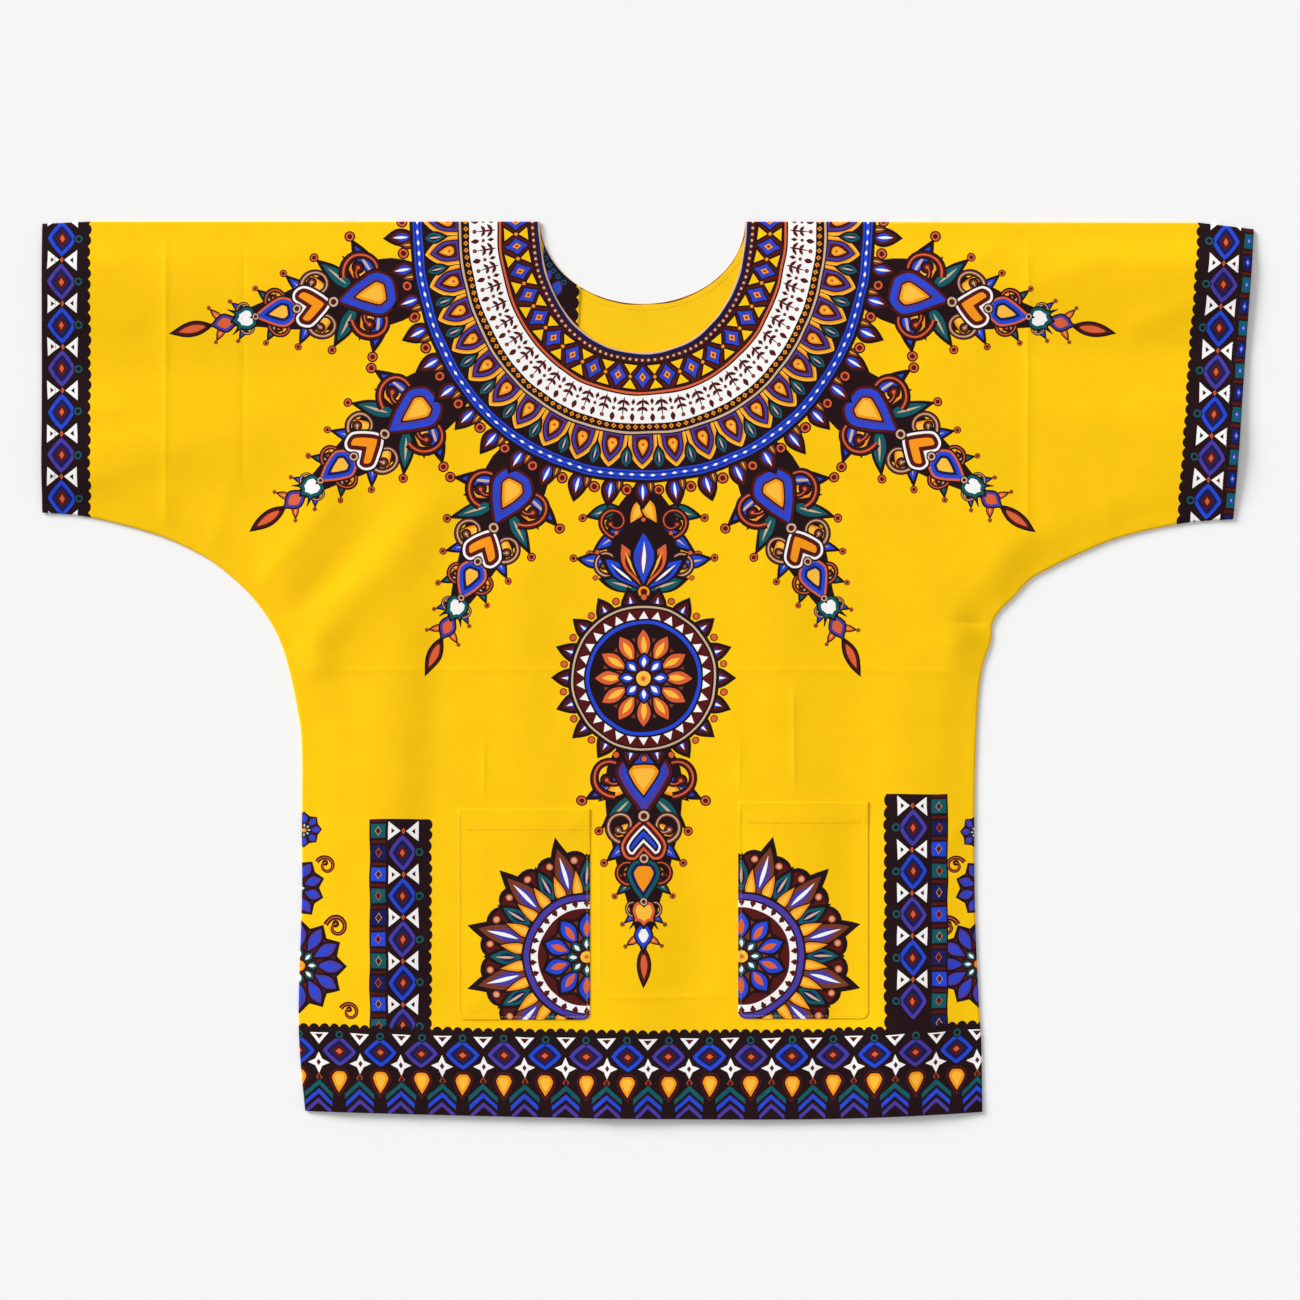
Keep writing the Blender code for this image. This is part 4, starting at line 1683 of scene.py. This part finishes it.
def pocket_rows(name):
    left, right, top, _ = POCKETS[name]
    mouth = [place(right, top), place(left, top)]
    return row_points((sewn_sides(name, 3.0), POCKET_STITCH), (mouth, POCKET_HEM - ROW_IN))


def make_pocket(name, material):
    outline, surface, upper, lower = pocket_heights(name)
    cloth = cloth_shell(
        name + "_cloth", outline, pocket_print(name), upper, lower, material, grid=SMALL_GRID,
        loose=pocket_rows(name),
    )
    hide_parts(name)
    return cloth, surface


FACING_PART = slice(68, 89)  # the points of the neckline beside which the facing shows
FACING_GAP = 0.45  # between it and the front's neckline
FACING_Z = 1.9


def make_facing(material):
    front, back = FRONT_NECK[FACING_PART], BACK_NECK[FACING_PART]
    outer = [p + (q - p) * FACING_GAP / np.hypot(*(q - p)) for p, q in zip(front, back)]
    outline = outer[::-1] + back
    closed = outline + outline[:1]

    def upper(points):
        edge = distance_to(points, closed)
        bulge = FACING_Z + 0.5 * soft_step(edge, 9.0) + 0.2 * rippled(points, 12.0, 51.0)
        return bulge + 0.55 * roll_share(edge, OPEN_ROLL)

    def lower(points):
        return FACING_Z - 0.45 * roll_share(distance_to(points, closed), OPEN_ROLL)

    cloth = cloth_shell(
        "neck_facing_cloth", outline, facing_print(), upper, lower, material, grid=SMALL_GRID,
    )
    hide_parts("neck_facing")
    return cloth


def make_stitches(front_thread, pocket_thread, left_surface, right_surface):
    """Every seam row that shows, on the front, in the neck, on the pockets and underneath."""
    hems = stitch_row(HEM_RUN[2:-2], HEM_DEPTH - ROW_IN)
    for run in (LEFT_CUFF_RUN, RIGHT_CUFF_RUN):
        hems += stitch_row(run[1:-1], CUFF_DEPTH - ROW_IN)
    outer = stitch_row(FRONT_NECK[2:-2], NECK_HEM - ROW_IN)
    rows = [stitch_mesh("front_stitches", hems + outer, front_surface, front_thread)]

    inner = stitch_row(BACK_NECK[2:-2], NECK_HEM - ROW_IN)
    rows.append(stitch_mesh("back_neck_stitches", inner, back_surface, pocket_thread))

    under = hems + inner
    rows.append(stitch_mesh("back_stitches", under, back_underside, front_thread, up=-1))

    for name, surface in (("pocket_left", left_surface), ("pocket_right", right_surface)):
        left, right, top, _ = POCKETS[name]
        row_drop = top + POCKET_HEM - ROW_IN
        yellow = stitch_row(sewn_sides(name, 2.0), POCKET_STITCH)
        yellow += stitch_row([place(left + 4, row_drop), place(right - 4, row_drop)], 0.0)
        rows.append(stitch_mesh(name + "_stitches", yellow, surface, pocket_thread))
    return rows


# ---------------- floor, light, camera

VIEW_X, VIEW_Y = 1.8, 18.5
VIEW_WIDTH = 1201.2
LENS = 100.0
SENSOR = 36.0
FLOOR_Z = -0.35
FLOOR_HALF = 30.0  # in metres
CLOTH_Z = 0.003  # the height that the camera is set for, in metres


def make_floor():
    n = Nodes("floor_paint")
    where = n.node("ShaderNodeTexCoord").outputs["Object"]
    grain = n.noise(where, 90.0, 3.0)
    n.tint(grain, (0.93, 0.93, 0.93), (0.95, 0.95, 0.95))
    n.link(n.spread(grain, 0.78, 0.9), n.surface.inputs["Roughness"])
    n.surface.inputs["Specular IOR Level"].default_value = 0.1
    mesh = bpy.data.meshes.new("floor")
    corners = [(x * FLOOR_HALF, y * FLOOR_HALF) for x, y in ((-1, -1), (1, -1), (1, 1), (-1, 1))]
    mesh.from_pydata([(x, y, FLOOR_Z * MM) for x, y in corners], [], [(0, 1, 2, 3)])
    mesh.materials.append(n.material)
    floor = added("floor", mesh)


def soft_light(name, share, height, bearing, spread):
    """A broad even light. Its share is what it gives a level surface, and its angles are degrees:
    its height over the floor, its bearing from the neck's side, and how wide it looks."""
    light = bpy.data.lights.new(name, "SUN")
    light.angle = math.radians(spread)
    light.energy = share * math.pi / math.sin(math.radians(height))
    up, round_about = math.radians(height), math.radians(bearing)
    towards = Vector((
        math.sin(round_about) * math.cos(up), math.cos(round_about) * math.cos(up), math.sin(up),
    ))
    added(name, light).rotation_euler = towards.to_track_quat("Z", "Y").to_euler()


def light_scene():
    world = bpy.data.worlds.new("studio")
    world.use_nodes = True
    sky = world.node_tree.nodes["Background"]
    sky.inputs["Color"].default_value = (1.0, 1.0, 1.0, 1.0)
    sky.inputs["Strength"].default_value = 0.4
    bpy.context.scene.world = world
    soft_light("overhead", 0.12, 80, 40, 60)
    soft_light("key", 0.46, 24, -50, 26)


def aim_camera():
    camera = bpy.data.cameras.new("camera")
    camera.lens = LENS
    camera.sensor_width = SENSOR
    camera.clip_end = 100.0
    seen = added("camera", camera)
    seen.location = (VIEW_X * MM, VIEW_Y * MM, VIEW_WIDTH * LENS / SENSOR * MM + CLOTH_Z)
    bpy.context.scene.camera = seen


def main():
    cotton = printed_cotton()
    front_thread = sewing_thread("dark_thread", as_linear((58, 26, 30)))
    pocket_thread = sewing_thread("yellow_thread", as_linear((238, 180, 20)))
    front = make_front(cotton)
    back = make_back(cotton)
    pocket_left, left_surface = make_pocket("pocket_left", cotton)
    pocket_right, right_surface = make_pocket("pocket_right", cotton)
    facing = make_facing(cotton)
    stitches = make_stitches(front_thread, pocket_thread, left_surface, right_surface)
    for piece in (front, back, pocket_left, pocket_right, facing, *stitches):
        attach(piece, "root")
    make_floor()
    light_scene()
    aim_camera()
    bpy.context.scene.view_settings.view_transform = "Standard"


main()
